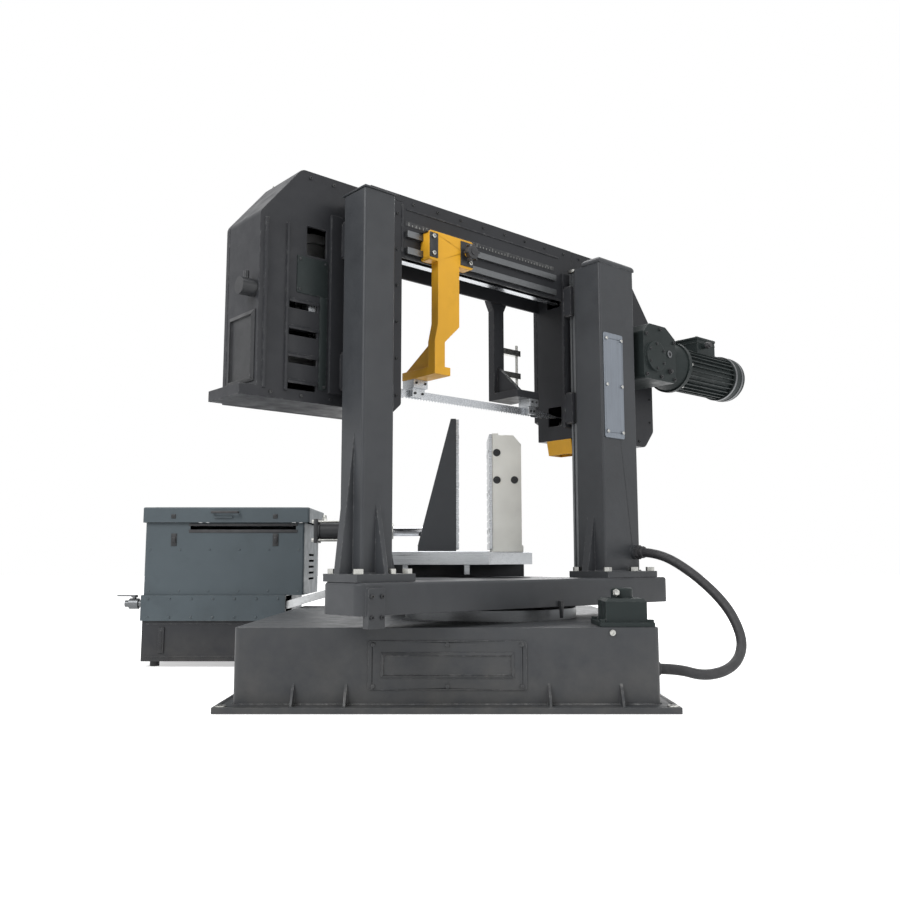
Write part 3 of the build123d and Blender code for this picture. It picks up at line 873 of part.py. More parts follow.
MOTOR_X1 = MOTOR_X0 + MOTOR_L
with BuildPart() as drive_motor:
    rod_x(MOTOR_X0, MOTOR_X0 + 24, MOTOR_Y, WHEEL_Z, MOTOR_R + 18)
    rod_x(MOTOR_X0 + 24, MOTOR_X1, MOTOR_Y, WHEEL_Z, MOTOR_R - 14)
    with Locations(Location(((MOTOR_X0 + MOTOR_X1) / 2 + 7, MOTOR_Y, WHEEL_Z), (0, 90, 0))):
        with PolarLocations(MOTOR_R - 8, 28):
            Box(20, 5, MOTOR_L - 64)
    rod_x(MOTOR_X1 - 24, MOTOR_X1 + 2, MOTOR_Y, WHEEL_Z, MOTOR_R + 3)
    block(MOTOR_X0 + 174, MOTOR_X0 + 344, MOTOR_Y - 70, MOTOR_Y + 70, WHEEL_Z + 90, WHEEL_Z + 180)
    rod_y(MOTOR_Y - 96, MOTOR_Y - 69, MOTOR_X0 + 224, WHEEL_Z + 140, 16)
export_step(swung(drive_motor.part, "drive_motor"), "parts/drive_motor.step")

FAN_X0 = MOTOR_X1 - 20
with BuildPart() as motor_fan_cover:
    rod_x(FAN_X0, FAN_X0 + FAN_L, MOTOR_Y, WHEEL_Z, MOTOR_R + 6)
    fillet(motor_fan_cover.edges().sort_by(Axis.X)[-1], 20)
    rod_x(FAN_X0 - 1, FAN_X0 + FAN_L - 24, MOTOR_Y, WHEEL_Z, MOTOR_R + 3, Mode.SUBTRACT)
    with Locations(Location((FAN_X0 + FAN_L, MOTOR_Y, WHEEL_Z), (0, 90, 0))):
        for ring, count in ((40, 8), (70, 14)):
            with PolarLocations(ring, count):
                Cylinder(8, 60, mode=Mode.SUBTRACT)
export_step(swung(motor_fan_cover.part, "motor_fan_cover"), "parts/motor_fan_cover.step")

# Wheel doors, hinged along the top of each housing
HINGE_Y = HOUSE_Y1 + 13
PIN_R = 6.0
HANDLE_Z = HOUSE_Z0 + 135


def door(outline, bends, top, handle_x, stations):
    slab_xz(outline, HOUSE_Y1 + 1, HOUSE_Y1 + 25, bends=bends)
    slab_xz(outline, HOUSE_Y1, HOUSE_Y1 + 22, Mode.SUBTRACT, inset=3.0, bends=bends)
    for s in (-70, 70):
        rod_y(HOUSE_Y1 + 24, HOUSE_Y1 + 46, handle_x + s, HANDLE_Z, 8)
    rod_x(handle_x - 84, handle_x + 84, HOUSE_Y1 + 46, HANDLE_Z, 9)
    for hx in stations:
        block(hx + 21, hx + 39, HINGE_Y - 8, HINGE_Y + 8, top - 3, top + 10)
        rod_x(hx + 21, hx + 39, HINGE_Y, top + 10, 9.5)
        rod_x(hx + 20, hx + 40, HINGE_Y, top + 10, PIN_R + RUN, Mode.SUBTRACT)


def hinge(top, stations):
    for hx in stations:
        block(hx, hx + 60, 50, HOUSE_Y1 - 1, top, top + 4)
        for x0 in (hx, hx + 40.5):
            rod_x(x0, x0 + 19.5, HINGE_Y, top + 10, 9)
            block(x0, x0 + 19.5, HOUSE_Y1 - 4, HINGE_Y, top + 1.2, top + 4)
        rod_x(hx, hx + 60, HINGE_Y, top + 10, PIN_R)


L_STATIONS, R_STATIONS = (LHOUSE_X0 + 200, LHOUSE_X1 - 100), (RHOUSE_X0 + 32, RHOUSE_X1 - 330)
with BuildPart() as left_door:
    door(LHOUSE, LBENDS, LHOUSE_TOP, IDLER_X + 5, L_STATIONS)
export_step(swung(left_door.part, "left_door"), "parts/left_door.step")

with BuildPart() as left_door_hinge:
    hinge(LHOUSE_TOP, L_STATIONS)
export_step(swung(left_door_hinge.part, "left_door_hinge"), "parts/left_door_hinge.step")

with BuildPart() as right_door:
    door(RDOOR, RBENDS, RHOUSE_TOP, DRIVE_X + 60, R_STATIONS)
export_step(swung(right_door.part, "right_door"), "parts/right_door.step")

with BuildPart() as right_door_hinge:
    hinge(RHOUSE_TOP, R_STATIONS)
export_step(swung(right_door_hinge.part, "right_door_hinge"), "parts/right_door_hinge.step")
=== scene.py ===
import json
import math
from contextlib import contextmanager

import bpy
from bpy.props import FloatProperty, FloatVectorProperty, IntProperty, PointerProperty
from mathutils import Matrix, Vector

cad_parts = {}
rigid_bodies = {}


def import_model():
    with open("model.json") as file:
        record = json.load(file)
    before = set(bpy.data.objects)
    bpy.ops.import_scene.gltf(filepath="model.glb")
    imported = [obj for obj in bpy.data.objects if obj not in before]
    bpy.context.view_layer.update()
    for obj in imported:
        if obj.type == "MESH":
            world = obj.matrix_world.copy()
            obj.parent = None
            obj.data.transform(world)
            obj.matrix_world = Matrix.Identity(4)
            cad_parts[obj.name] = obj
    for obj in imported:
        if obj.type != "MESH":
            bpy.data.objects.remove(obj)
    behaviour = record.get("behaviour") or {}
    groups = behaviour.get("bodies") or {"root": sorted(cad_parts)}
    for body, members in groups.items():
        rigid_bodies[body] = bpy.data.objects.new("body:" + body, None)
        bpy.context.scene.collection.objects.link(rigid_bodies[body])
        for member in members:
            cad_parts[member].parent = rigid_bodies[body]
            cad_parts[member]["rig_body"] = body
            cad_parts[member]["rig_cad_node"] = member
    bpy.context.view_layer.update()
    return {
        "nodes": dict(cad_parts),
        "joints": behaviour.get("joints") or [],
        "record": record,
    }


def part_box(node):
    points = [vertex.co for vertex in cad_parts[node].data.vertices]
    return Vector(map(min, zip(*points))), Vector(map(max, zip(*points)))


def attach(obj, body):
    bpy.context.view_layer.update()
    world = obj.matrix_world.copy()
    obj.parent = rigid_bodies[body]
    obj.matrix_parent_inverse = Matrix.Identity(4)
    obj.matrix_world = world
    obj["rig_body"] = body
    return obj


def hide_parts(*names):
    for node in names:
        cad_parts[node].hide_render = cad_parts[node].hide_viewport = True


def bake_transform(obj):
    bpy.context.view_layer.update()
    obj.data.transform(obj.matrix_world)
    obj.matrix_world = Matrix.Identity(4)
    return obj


bl_info = {
    "name": "Twin column band saw",
    "version": (1, 0, 0),
    "blender": (4, 5, 0),
    "location": "View3D > Sidebar > Band saw",
    "description": "Finishes, trim and stage for a mitre-cutting twin column band saw",
    "category": "Object",
}

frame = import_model()

# The saw head is swung about Z; its own X runs along the guide arm's slide.
SLIDE_AXIS = next(j["axis"] for j in frame["joints"] if j["name"] == "guide_arm_slide")
SWING = math.atan2(SLIDE_AXIS[1], SLIDE_AXIS[0])
HEAD = Matrix.Rotation(SWING, 4, "Z")
BASE = Matrix.Identity(4)
# Bodies whose trim is laid out in the base's frame; the others' is laid out in the head's
FRAME_OF = {"base": BASE, "moving_jaw": BASE, "unit_lid": BASE}
SLOT_OF = {s["node"]: s["material_slot"] for s in frame["record"]["subparts"]}
BODY_OF = {n: b for b, ns in frame["record"]["behaviour"]["bodies"].items() for n in ns}
MM = 0.001

# Ways a screw can face: its own Z turned to the named direction of the head or base
FACING = {
    "up": Matrix.Identity(4),
    "near": Matrix.Rotation(math.radians(90), 4, "X"),
    "far": Matrix.Rotation(math.radians(-90), 4, "X"),
    "right": Matrix.Rotation(math.radians(90), 4, "Y"),
    "left": Matrix.Rotation(math.radians(-90), 4, "Y"),
}

# Places on the CAD that no node's box gives, in metres: in the head's own frame ...
COLUMN_FEET = {"left": (-0.995, -0.845, -0.350, -0.200), "right": (0.400, 0.665, -0.370, -0.200)}
BEAM_FRONT = -0.440
SHOE_FRONT = -0.454
SADDLE_DEPTH = 0.062
DOOR_FACE = 0.145
HUB_FACE = 0.045
BLOCK_HEIGHT = 0.140
# ... and in the base's
FLANGE_TOP = 0.025
FLANGE_WIDTH = 0.065
BASE_RIGHT = 0.630
STOP_FRONT = -0.634
CABINET_HEIGHT = 0.400

# How far trim reaches into the face that it stands on
BITE = 1 * MM

# Edges that turn less than this are shaded as one smooth face
SMOOTH_BELOW = math.radians(35)


def linear(red, green, blue):
    """A screen colour from 0 to 255 as the linear values that a shader takes."""
    return tuple(((c / 255 + 0.055) / 1.055) ** 2.4 if c > 10 else c / 3295 for c in (red, green, blue))


# Sizes and colours that a user would change

def length_prop(name, description, millimetres):
    return FloatProperty(name=name, description=description, default=millimetres * MM, unit="LENGTH")


def colour_prop(name, description, *screen):
    return FloatVectorProperty(name=name, description=description, subtype="COLOR", default=linear(*screen))


class SawSizes(bpy.types.PropertyGroup):
    """Sizes of the trim"""

    plate_edge: length_prop("Plate edge", "Rounding on welded plate edges", 3)
    sheet_edge: length_prop("Sheet edge", "Rounding on folded sheet edges", 1.2)
    machined_edge: length_prop("Machined edge", "Edge break on machined pieces", 1.5)
    small_screw: length_prop("Small screw", "Head radius of cover screws", 6.5)
    large_screw: length_prop("Large screw", "Head radius of structural screws", 10)
    conduit: length_prop("Conduit", "Outer diameter of the swivel conduit", 44)
    scale_ticks: IntProperty(name="Scale ticks", description="Divisions of the mitre scale", default=45)


class SawFinish(bpy.types.PropertyGroup):
    """Colours of the finishes"""

    machine: colour_prop("Machine", "Anthracite machine paint", 57, 59, 62)
    # Bow colour: the machine paint made darker, as painted shade over the bow
    bow: colour_prop("Bow", "Darker paint of the saw bow", 46, 47, 50)
    # Drive colour: darker than the drive's own paint, as painted shade on the machine's shaded right side
    drive: colour_prop("Drive", "Motor and gearbox paint", 40, 46, 46)
    unit: colour_prop("Unit", "Blue-grey sheet of the floor unit", 72, 81, 86)
    tank: colour_prop("Tank", "Dark paint of the coolant tank", 44, 45, 48)
    guard: colour_prop("Guard", "Yellow paint of the guide arm", 226, 168, 44)
    steel: colour_prop("Steel", "Ground steel", 180, 183, 186)
    rubber: colour_prop("Rubber", "Black rubber", 40, 40, 42)


class SawStage(bpy.types.PropertyGroup):
    """Camera"""

    camera_place: FloatVectorProperty(name="Camera", description="Camera position", subtype="TRANSLATION",
                                      default=(-0.19, -4.30, 0.58))
    camera_pitch: FloatProperty(name="Pitch", description="Camera tilt above level", subtype="ANGLE",
                                default=math.radians(7))
    lens: FloatProperty(name="Lens", description="Focal length on a 36 mm frame", default=36.0)


# Selection and placing

def only(*objects):
    """Makes the objects the whole selection, the first one active."""
    bpy.ops.object.select_all(action="DESELECT")
    for obj in objects:
        obj.select_set(True)
    bpy.context.view_layer.objects.active = objects[0]


@contextmanager
def picked(obj, kind, test):
    """Opens the active obj in edit mode with its faces, edges or vertices picked where test says so."""
    bpy.ops.object.mode_set(mode="EDIT")
    bpy.ops.mesh.select_mode(type=kind)
    bpy.ops.mesh.select_all(action="DESELECT")
    bpy.ops.object.mode_set(mode="OBJECT")
    mesh = obj.data
    if kind == "FACE":
        for face in mesh.polygons:
            face.select = test(face.center, face.normal)
    elif kind == "EDGE":
        for edge in mesh.edges:
            edge.select = test(*(mesh.vertices[i].co for i in edge.vertices))
    else:
        for vertex in mesh.vertices:
            vertex.select = test(vertex.co)
    bpy.ops.object.mode_set(mode="EDIT")
    yield
    bpy.ops.object.mode_set(mode="OBJECT")


def head_box(node):
    """Lowest and highest corner of a node in the saw head's own frame."""
    back = HEAD.inverted()
    spots = [back @ v.co for v in frame["nodes"][node].data.vertices]
    return tuple(Vector([end(p[i] for p in spots) for i in range(3)]) for end in (min, max))


def base_box(node):
    """Lowest and highest corner of a node in the base's frame."""
    return tuple(Vector(corner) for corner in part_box(node))


def middle(box):
    """The middle of a box given by its lowest and highest corner."""
    return (box[0] + box[1]) / 2


def bake_place():
    """Bakes the active object's place into its mesh."""
    bpy.ops.object.transform_apply(location=True, rotation=True, scale=True)


def coat(obj, finish):
    """Gives obj one finish."""
    obj.data.materials.clear()
    obj.data.materials.append(FINISHES[finish])


def settle(obj, name, body, slot, place):
    """Bakes a piece's place into its mesh, gives it its finish and lets it ride on its body."""
    only(obj)
    obj.name = name
    obj.matrix_world = place @ obj.matrix_world
    bake_place()
    bpy.ops.object.shade_smooth_by_angle(angle=SMOOTH_BELOW)
    coat(obj, slot)
    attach(obj, body)


def join(objects):
    """Joins several objects into the first."""
    only(*objects)
    bpy.ops.object.join()
    return objects[0]


def repeat(model, spots):
    """Copies a modelled shape to each matrix in spots, each copy with its own mesh, and joins them."""
    copies = []
    for spot in spots:
        only(model)
        bpy.ops.object.duplicate()
        copy = bpy.context.object
        copy.matrix_world = spot @ copy.matrix_world
        copies.append(copy)
    only(model)
    bpy.ops.object.delete()
    return join(copies)


def shift(x, y, z):
    return Matrix.Translation((x, y, z))


def at(x, y, z, facing="up"):
    """A spot for a shape, with the way that its top faces."""
    return shift(x, y, z) @ FACING[facing]


def steps(first, last, count):
    """Even steps from first to last."""
    return [first + (last - first) * i / (count - 1) for i in range(count)]


def grid(across, up):
    """Every pair of one value from each list."""
    return [(a, b) for a in across for b in up]


def six_round(x, y, z, axis, radius, facing, lead=0.0):
    """Six spots round an axis through x, y, z; lead is the first one's share of the pitch."""
    return [shift(x, y, z) @ Matrix.Rotation(math.pi * (i + lead) / 3, 4, axis) @ at(0, 0, radius, facing)
            for i in range(6)]


def fit_one(shapes, name, body, slot):
    """Joins shapes that were made in place and settles them as one piece."""
    settle(join(shapes), name, body, slot, FRAME_OF.get(body, HEAD))


def fit(model, spots, name, body, slot):
    """Copies a shape to its spots and settles the set as one piece."""
    fit_one([repeat(model, spots)], name, body, slot)


def fit_front(model, y, spots, name, body, slot):
    """Copies a shape to spots, given as x and z, on a face at y that looks to the front."""
    fit(model, [at(x, y, z, "near") for x, z in spots], name, body, slot)


# Modelled trim shapes

def soften(obj, edge, test=lambda a, b: True):
    """Rounds the edges of obj that test names."""
    with picked(obj, "EDGE", test):
        bpy.ops.mesh.bevel(offset=edge, segments=2, affect="EDGES")


def press(obj, test, rim, move):
    """Insets the faces of obj that test names and moves their middle, which leaves a rim."""
    with picked(obj, "FACE", test):
        bpy.ops.mesh.inset(thickness=rim)
        bpy.ops.mesh.extrude_region_move(TRANSFORM_OT_translate={"value": move})
    return obj


def bar(x0, x1, y0, y1, z0, z1, edge=0.0):
    """A rectangular bar with rounded edges."""
    bpy.ops.mesh.primitive_cube_add(size=1, location=((x0 + x1) / 2, (y0 + y1) / 2, (z0 + z1) / 2))
    obj = bpy.context.object
    obj.scale = (x1 - x0, y1 - y0, z1 - z0)
    bake_place()
    if edge:
        soften(obj, edge)
    return obj


def plate(face, x_range, z_range, proud, edge, bite=BITE):
    """A flat bar on a face at y = face that looks to the front."""
    return bar(*x_range, face - proud, face + bite, *z_range, edge)


def disc(radius, height, sides=32, edge=0.0, base=0.0):
    """A round boss on the XY plane with a rounded top edge, its foot at height base."""
    bpy.ops.mesh.primitive_cylinder_add(vertices=sides, radius=radius, depth=height,
                                        location=(0, 0, base + height / 2))
    obj = bpy.context.object
    bake_place()
    if edge:
        top = base + height
        soften(obj, edge, lambda a, b: min(a.z, b.z) > top - 1e-6)
    return obj


def socket_screw(radius, height):
    """A cap screw: round head with a bevelled rim and a six-sided socket."""
    head = disc(radius, height, 24, radius * 0.12)
    return press(head, lambda c, n: n.z > 0.9 and c.z > height - 1e-6, radius * 0.36, (0, 0, -height * 0.6))


def hex_bolt(across, height, washer):
    """A hexagon bolt head with a chamfered top, on a round washer."""
    head = disc(across / math.sqrt(3), height, 6, across * 0.05, washer)
    press(head, lambda c, n: n.z > 0.9 and c.z > washer + height - 1e-6, across * 0.08, (0, 0, across * 0.03))
    return join([head, disc(across * 0.62, washer, 28, washer * 0.3)])


def dome_screw(radius, height):
    """A low round-headed screw with a raised cross."""
    head = disc(radius, height, 20, height * 0.7)
    long, thick, low, high = radius * 0.62, radius * 0.11, height * 0.9, height * 1.04
    return join([head, bar(-long, long, -thick, thick, low, high), bar(-thick, thick, -long, long, low, high)])


def dome_nut(across, height):
    """A cap nut: six-sided foot and a rounded cap."""
    foot = disc(across / math.sqrt(3), height * 0.5, 6, across * 0.05)
    cap = disc(across * 0.42, height * 0.5, 20, across * 0.2, height * 0.5)
    return join([foot, cap])


def star_knob(radius, height):
    """A clamping knob: round middle with six rounded lobes."""
    knob = disc(radius * 0.78, height, 24, radius * 0.1)
    lobes = [2 * math.pi * (i + 0.5) / 24 for i in range(0, 24, 4)]

    def on_lobe(centre, normal):
        turn = math.atan2(centre.y, centre.x) % (2 * math.pi)
        return abs(normal.z) < 0.2 and any(abs(turn - lobe) < 0.05 for lobe in lobes)

    with picked(knob, "FACE", on_lobe):
        bpy.ops.mesh.extrude_region_shrink_fatten(TRANSFORM_OT_shrink_fatten={"value": radius * 0.24})
    inner = radius * 0.3
    return press(knob, lambda c, n: n.z > 0.9 and c.xy.length < inner, inner, (0, 0, height * 0.18))


def ring(inner, outer, height, sides=48, edge=0.0):
    """A flat ring, cut from a disc by bridging its inset middles."""
    made = disc(outer, height, sides, edge)
    for level, rim in ((height, edge), (0.0, 0.0)):
        with picked(made, "FACE", lambda c, n: abs(n.z) > 0.9 and abs(c.z - level) < 1e-6):
            bpy.ops.mesh.inset(thickness=outer - rim - inner)
    with picked(made, "FACE", lambda c, n: abs(n.z) > 0.9 and c.xy.length < 1e-4):
        bpy.ops.mesh.bridge_edge_loops()
    return made


def weld(start, end, radius):
    """A weld bead: one flattened drop, repeated along the seam."""
    start, end = Vector(start), Vector(end)
    run = end - start
    pitch = radius * 0.9
    bpy.ops.mesh.primitive_uv_sphere_add(segments=8, ring_count=5, radius=radius)
    bead = bpy.context.object
    bead.scale = (0.8, 1.0, 1.0)
    bake_place()
    row = bead.modifiers.new("row", "ARRAY")
    row.use_relative_offset = False
    row.use_constant_offset = True
    row.constant_offset_displace = (pitch, 0, 0)
    row.count = max(2, int(run.length / pitch))
    bpy.ops.object.modifier_apply(modifier=row.name)
    bead.matrix_world = Matrix.Translation(start) @ run.to_track_quat("X", "Z").to_matrix().to_4x4()
    bake_place()
    return bead


# Finishes

class Graph:
    """A material's node tree, with short calls for the nodes that the finishes and the floor share."""

    def __init__(self, name):
        self.material = bpy.data.materials.new(name)
        self.material.use_nodes = True
        self.tree = self.material.node_tree
        self.shader = self.tree.nodes["Principled BSDF"]
        self.coords = self.node("ShaderNodeTexCoord").outputs["Object"]

    def node(self, kind, links=(), **values):
        made = self.tree.nodes.new(kind)
        for key, value in values.items():
            setattr(made, key, value)
        for socket, source in links:
            self.link(source, made.inputs[socket])
        return made

    def link(self, source, socket):
        if isinstance(source, bpy.types.NodeSocket):
            self.tree.links.new(source, socket)
        else:
            socket.default_value = source

    def set(self, socket, source):
        self.link(source, self.shader.inputs[socket])

    def noise(self, scale, detail=3.0, roughness=0.5, coords=None):
        made = self.node("ShaderNodeTexNoise", [("Vector", coords or self.coords), ("Scale", scale),
                                                ("Detail", detail), ("Roughness", roughness)])
        return made.outputs["Fac"]

    def stretched(self, scale, turn=0.0):
        made = self.node("ShaderNodeMapping",
                         [("Vector", self.coords), ("Rotation", (0, 0, -turn)), ("Scale", scale)])
        return made.outputs["Vector"]

    def ramp(self, value, low, high, to_low=0.0, to_high=1.0):
        made = self.node("ShaderNodeMapRange", [("Value", value), ("From Min", low), ("From Max", high),
                                                ("To Min", to_low), ("To Max", to_high)])
        return made.outputs["Result"]

    def math(self, kind, a, b=0.0):
        return self.node("ShaderNodeMath", [(0, a), (1, b)], operation=kind).outputs[0]

    def mix(self, share, first, second):
        made = self.node("ShaderNodeMix", data_type="RGBA")
        self.link(share, made.inputs["Factor"])
        self.link(first, made.inputs["A"])
        self.link(second, made.inputs["B"])
        return made.outputs["Result"]

    def bump(self, height, strength, distance):
        made = self.node("ShaderNodeBump", [("Height", height), ("Strength", strength), ("Distance", distance)])
        return made.outputs["Normal"]

    def edges(self, radius):
        """Near 1 along sharp edges, from how far a rounded normal leaves the true one."""
        rounded = self.node("ShaderNodeBevel", [("Radius", radius)], samples=6).outputs["Normal"]
        true = self.node("ShaderNodeNewGeometry").outputs["True Normal"]
        dot = self.node("ShaderNodeVectorMath", [(0, rounded), (1, true)], operation="DOT_PRODUCT")
        return self.ramp(dot.outputs["Value"], 0.985, 0.86)

    def height(self):
        return self.node("ShaderNodeSeparateXYZ", [("Vector", self.coords)]).outputs["Z"]


def tint(colour, factor):
    return (*(min(c * factor, 1.0) for c in colour), 1.0)


def painted(name, colour, wear=0.5, gloss=0.42, dust_top=0.0, sheen=0.28):
    """Two-coat machine paint: soft cloudy tone, orange peel, worn edges and dust towards the floor."""
    g = Graph(name)
    cloud = g.ramp(g.noise(1.7, 4.0, 0.6), 0.3, 0.7)
    tone = g.mix(cloud, tint(colour, 0.86), tint(colour, 1.12))
    grime = g.ramp(g.noise(5.0, 6.0, 0.65), 0.52, 0.78, 0.0, 0.45)
    tone = g.mix(grime, tone, tint(colour, 0.62))
    if dust_top:
        low = g.ramp(g.height(), dust_top, 0.0, 0.0, 0.3)
        dust = g.math("MULTIPLY", low, g.ramp(g.noise(9.0, 5.0, 0.6), 0.3, 0.75))
        tone = g.mix(dust, tone, (*linear(112, 109, 103), 1.0))
    worn = g.math("MULTIPLY", g.edges(7 * MM), g.ramp(g.noise(38.0, 5.0, 0.7), 0.52 - 0.1 * wear, 0.68))
    worn = g.math("MULTIPLY", worn, wear)
    bare = (*linear(150, 150, 148), 1.0)
    g.set("Base Color", g.mix(worn, tone, bare))
    g.set("Metallic", g.math("MULTIPLY", worn, 0.8))
    scuffs = g.ramp(g.noise(14.0, 5.0, 0.6), 0.3, 0.7, gloss - 0.07, gloss + 0.13)
    g.set("Roughness", scuffs)
    g.set("Specular IOR Level", sheen)
    g.set("Normal", g.bump(g.noise(420.0, 2.0), 0.12, 0.4 * MM))
    return g.material


def ground_steel(name, colour, turn=0.0, along="x", rough=0.3, stain=0.3):
    """Ground or brushed steel: fine streaks along one direction, faint oil stains."""
    g = Graph(name)
    across = (4.0, 260.0, 260.0) if along == "x" else (260.0, 260.0, 4.0)
    streaks = g.noise(1.0, 3.0, 0.6, g.stretched(across, turn))
    blots = g.ramp(g.noise(7.0, 5.0, 0.6), 0.45, 0.75, 0.0, stain)
    tone = g.mix(g.ramp(streaks, 0.3, 0.7), tint(colour, 0.82), tint(colour, 1.08))
    g.set("Base Color", g.mix(blots, tone, tint(colour, 0.55)))
    g.set("Metallic", 0.85)
    g.set("Roughness", g.ramp(streaks, 0.3, 0.7, rough - 0.08, rough + 0.12))
    g.set("Normal", g.bump(streaks, 0.16, 0.15 * MM))
    return g.material


def cast_iron(name, colour):
    """Cast iron: grainy skin with a dull oily sheen."""
    g = Graph(name)
    grain = g.noise(190.0, 4.0, 0.7)
    tone = g.mix(g.ramp(g.noise(8.0, 4.0), 0.3, 0.7), tint(colour, 0.75), tint(colour, 1.2))
    g.set("Base Color", tone)
    g.set("Metallic", 0.6)
    g.set("Roughness", g.ramp(grain, 0.3, 0.7, 0.42, 0.65))
    g.set("Normal", g.bump(grain, 0.3, 0.6 * MM))
    return g.material


def black_rubber(name, colour):
    """Black hose rubber: chalky bloom and fine moulding grain."""
    g = Graph(name)
    bloom = g.ramp(g.noise(24.0, 5.0, 0.65), 0.4, 0.75, 0.0, 0.35)
    g.set("Base Color", g.mix(bloom, tint(colour, 1.0), tint(colour, 2.4)))
    g.set("Roughness", g.ramp(g.noise(60.0, 3.0), 0.3, 0.7, 0.5, 0.68))
    g.set("Normal", g.bump(g.noise(900.0, 2.0), 0.2, 0.3 * MM))
    return g.material


def galvanised(name, colour):
    """Galvanised sheet: faceted spangle of zinc."""
    g = Graph(name)
    cells = g.node("ShaderNodeTexVoronoi", [("Vector", g.coords), ("Scale", 70.0)]).outputs["Color"]
    shade = g.node("ShaderNodeSeparateColor", [("Color", cells)]).outputs["Red"]
    g.set("Base Color", g.mix(shade, tint(colour, 0.8), tint(colour, 1.05)))
    g.set("Metallic", 0.8)
    g.set("Roughness", g.ramp(shade, 0.0, 1.0, 0.32, 0.52))
    g.set("Normal", g.bump(g.noise(120.0, 3.0), 0.06, 0.3 * MM))
    return g.material


def plated(name, colour, rough):
    """Zinc, chrome or wire: clean metal with handling marks."""
    g = Graph(name)
    marks = g.noise(34.0, 6.0, 0.7)
    g.set("Base Color", g.mix(g.ramp(marks, 0.35, 0.75), tint(colour, 1.0), tint(colour, 0.78)))
    g.set("Metallic", 1.0)
    g.set("Roughness", g.ramp(marks, 0.3, 0.75, rough * 0.7, rough * 1.35))
    g.set("Normal", g.bump(g.noise(300.0, 2.0), 0.04, 0.2 * MM))
    return g.material


def make_finishes(colours):
    """All finishes, by the record's slot names."""
    recipes = {
        "machine_grey": (painted, colours.machine, {"wear": 0.45, "gloss": 0.4, "dust_top": 0.45}),
        # bow_grey: the machine paint, darker and with less sheen, as painted shade
        "bow_grey": (painted, colours.bow, {"wear": 0.45, "gloss": 0.4, "sheen": 0.18}),
        # drive_grey: darker colour and less sheen, as painted shade
        "drive_grey": (painted, colours.drive, {"wear": 0.3, "sheen": 0.14}),
        "unit_grey": (painted, colours.unit, {"wear": 0.35, "gloss": 0.4, "dust_top": 0.3}),
        "tank_dark": (painted, colours.tank, {"wear": 0.3, "gloss": 0.45, "dust_top": 0.22}),
        "guard_yellow": (painted, colours.guard, {"wear": 0.55, "gloss": 0.38}),
        "machined_steel": (ground_steel, colours.steel, {}),
        "oiled_steel": (ground_steel, linear(104, 106, 108), {"turn": SWING, "rough": 0.36, "stain": 0.4}),
        "jaw_beige": (painted, linear(244, 243, 236), {"wear": 0.35}),
        "cover_steel": (ground_steel, linear(126, 132, 140),
                        {"turn": SWING, "along": "z", "rough": 0.5, "stain": 0.15}),
        "galvanised": (galvanised, linear(206, 208, 209), {}),
        "blade_steel": (ground_steel, linear(188, 191, 195), {"turn": SWING, "rough": 0.24, "stain": 0.2}),
        "zinc_fastener": (plated, linear(176, 176, 172), {"rough": 0.34}),
        "cylinder_black": (painted, linear(44, 45, 47), {"wear": 0.25, "gloss": 0.36}),
        "chrome_rod": (plated, linear(226, 227, 230), {"rough": 0.1}),
        "cast_wheel": (cast_iron, linear(118, 118, 118), {}),
        "black_rubber": (black_rubber, colours.rubber, {}),
        "brush_wire": (plated, linear(150, 150, 150), {"rough": 0.4}),
    }
    return {name: recipe(name, colour, **options) for name, (recipe, colour, options) in recipes.items()}


FINISHES = {}

# Nodes that look duller than their slot does elsewhere
DULL_NODES = {"drain_valve": "oiled_steel", "drain_lever": "oiled_steel"}

# Nodes that get rounded edges, by the kind of edge they have
PLATE_NODES = ("base_body", "swivel_frame", "left_column", "right_column", "left_housing", "right_housing",
               "bow_spine", "bed_pedestal", "moving_jaw", "fixed_jaw", "moving_guide_arm", "fixed_guide_arm",
               "left_carriage", "right_carriage", "gearbox")
SHEET_NODES = ("unit_cabinet", "unit_lid", "tank_step", "coolant_tank", "left_door", "right_door", "base_cover",
               "column_cover", "chip_deflector", "tank_brackets")
MACHINED_NODES = ("vise_bed", "mitre_stop", "fixed_jaw_plate", "moving_jaw_plate", "guide_rails",
                  "fixed_guide_block", "moving_guide_block", "vise_cylinder")


def rounded_copy(node, width):
    """Makes a copy of a node with whole faces and rounded edges, which stands for the node."""
    only(frame["nodes"][node])
    bpy.ops.object.duplicate()
    piece = bpy.context.object
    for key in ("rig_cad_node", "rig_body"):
        del piece[key]
    bpy.ops.object.mode_set(mode="EDIT")
    bpy.ops.mesh.select_all(action="SELECT")
    bpy.ops.mesh.customdata_custom_splitnormals_clear()
    bpy.ops.mesh.remove_doubles(threshold=1e-5)
    bpy.ops.mesh.dissolve_limited(angle_limit=math.radians(0.6))
    bpy.ops.mesh.quads_convert_to_tris(quad_method="BEAUTY", ngon_method="BEAUTY")
    bpy.ops.object.mode_set(mode="OBJECT")
    rounding = piece.modifiers.new("rounding", "BEVEL")
    rounding.width = width
    rounding.segments = 2
    rounding.limit_method = "ANGLE"
    rounding.angle_limit = math.radians(40)
    rounding.use_clamp_overlap = False
    bpy.ops.object.modifier_apply(modifier=rounding.name)
    settle(piece, f"{node}_finished", BODY_OF[node], SLOT_OF[node], BASE)
    flat = piece.modifiers.new("flat_faces", "WEIGHTED_NORMAL")
    flat.keep_sharp = True
    bpy.ops.object.modifier_apply(modifier=flat.name)
    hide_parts(node)


class SAW_OT_finishes(bpy.types.Operator):
    """Makes the finishes and gives every carried-over node its own"""

    bl_idname = "saw.finishes"
    bl_label = "Finishes"

    def execute(self, context):
        FINISHES.update(make_finishes(context.scene.saw_finish))
        for name, node in frame["nodes"].items():
            coat(node, DULL_NODES.get(name, SLOT_OF[name]))
        return {"FINISHED"}


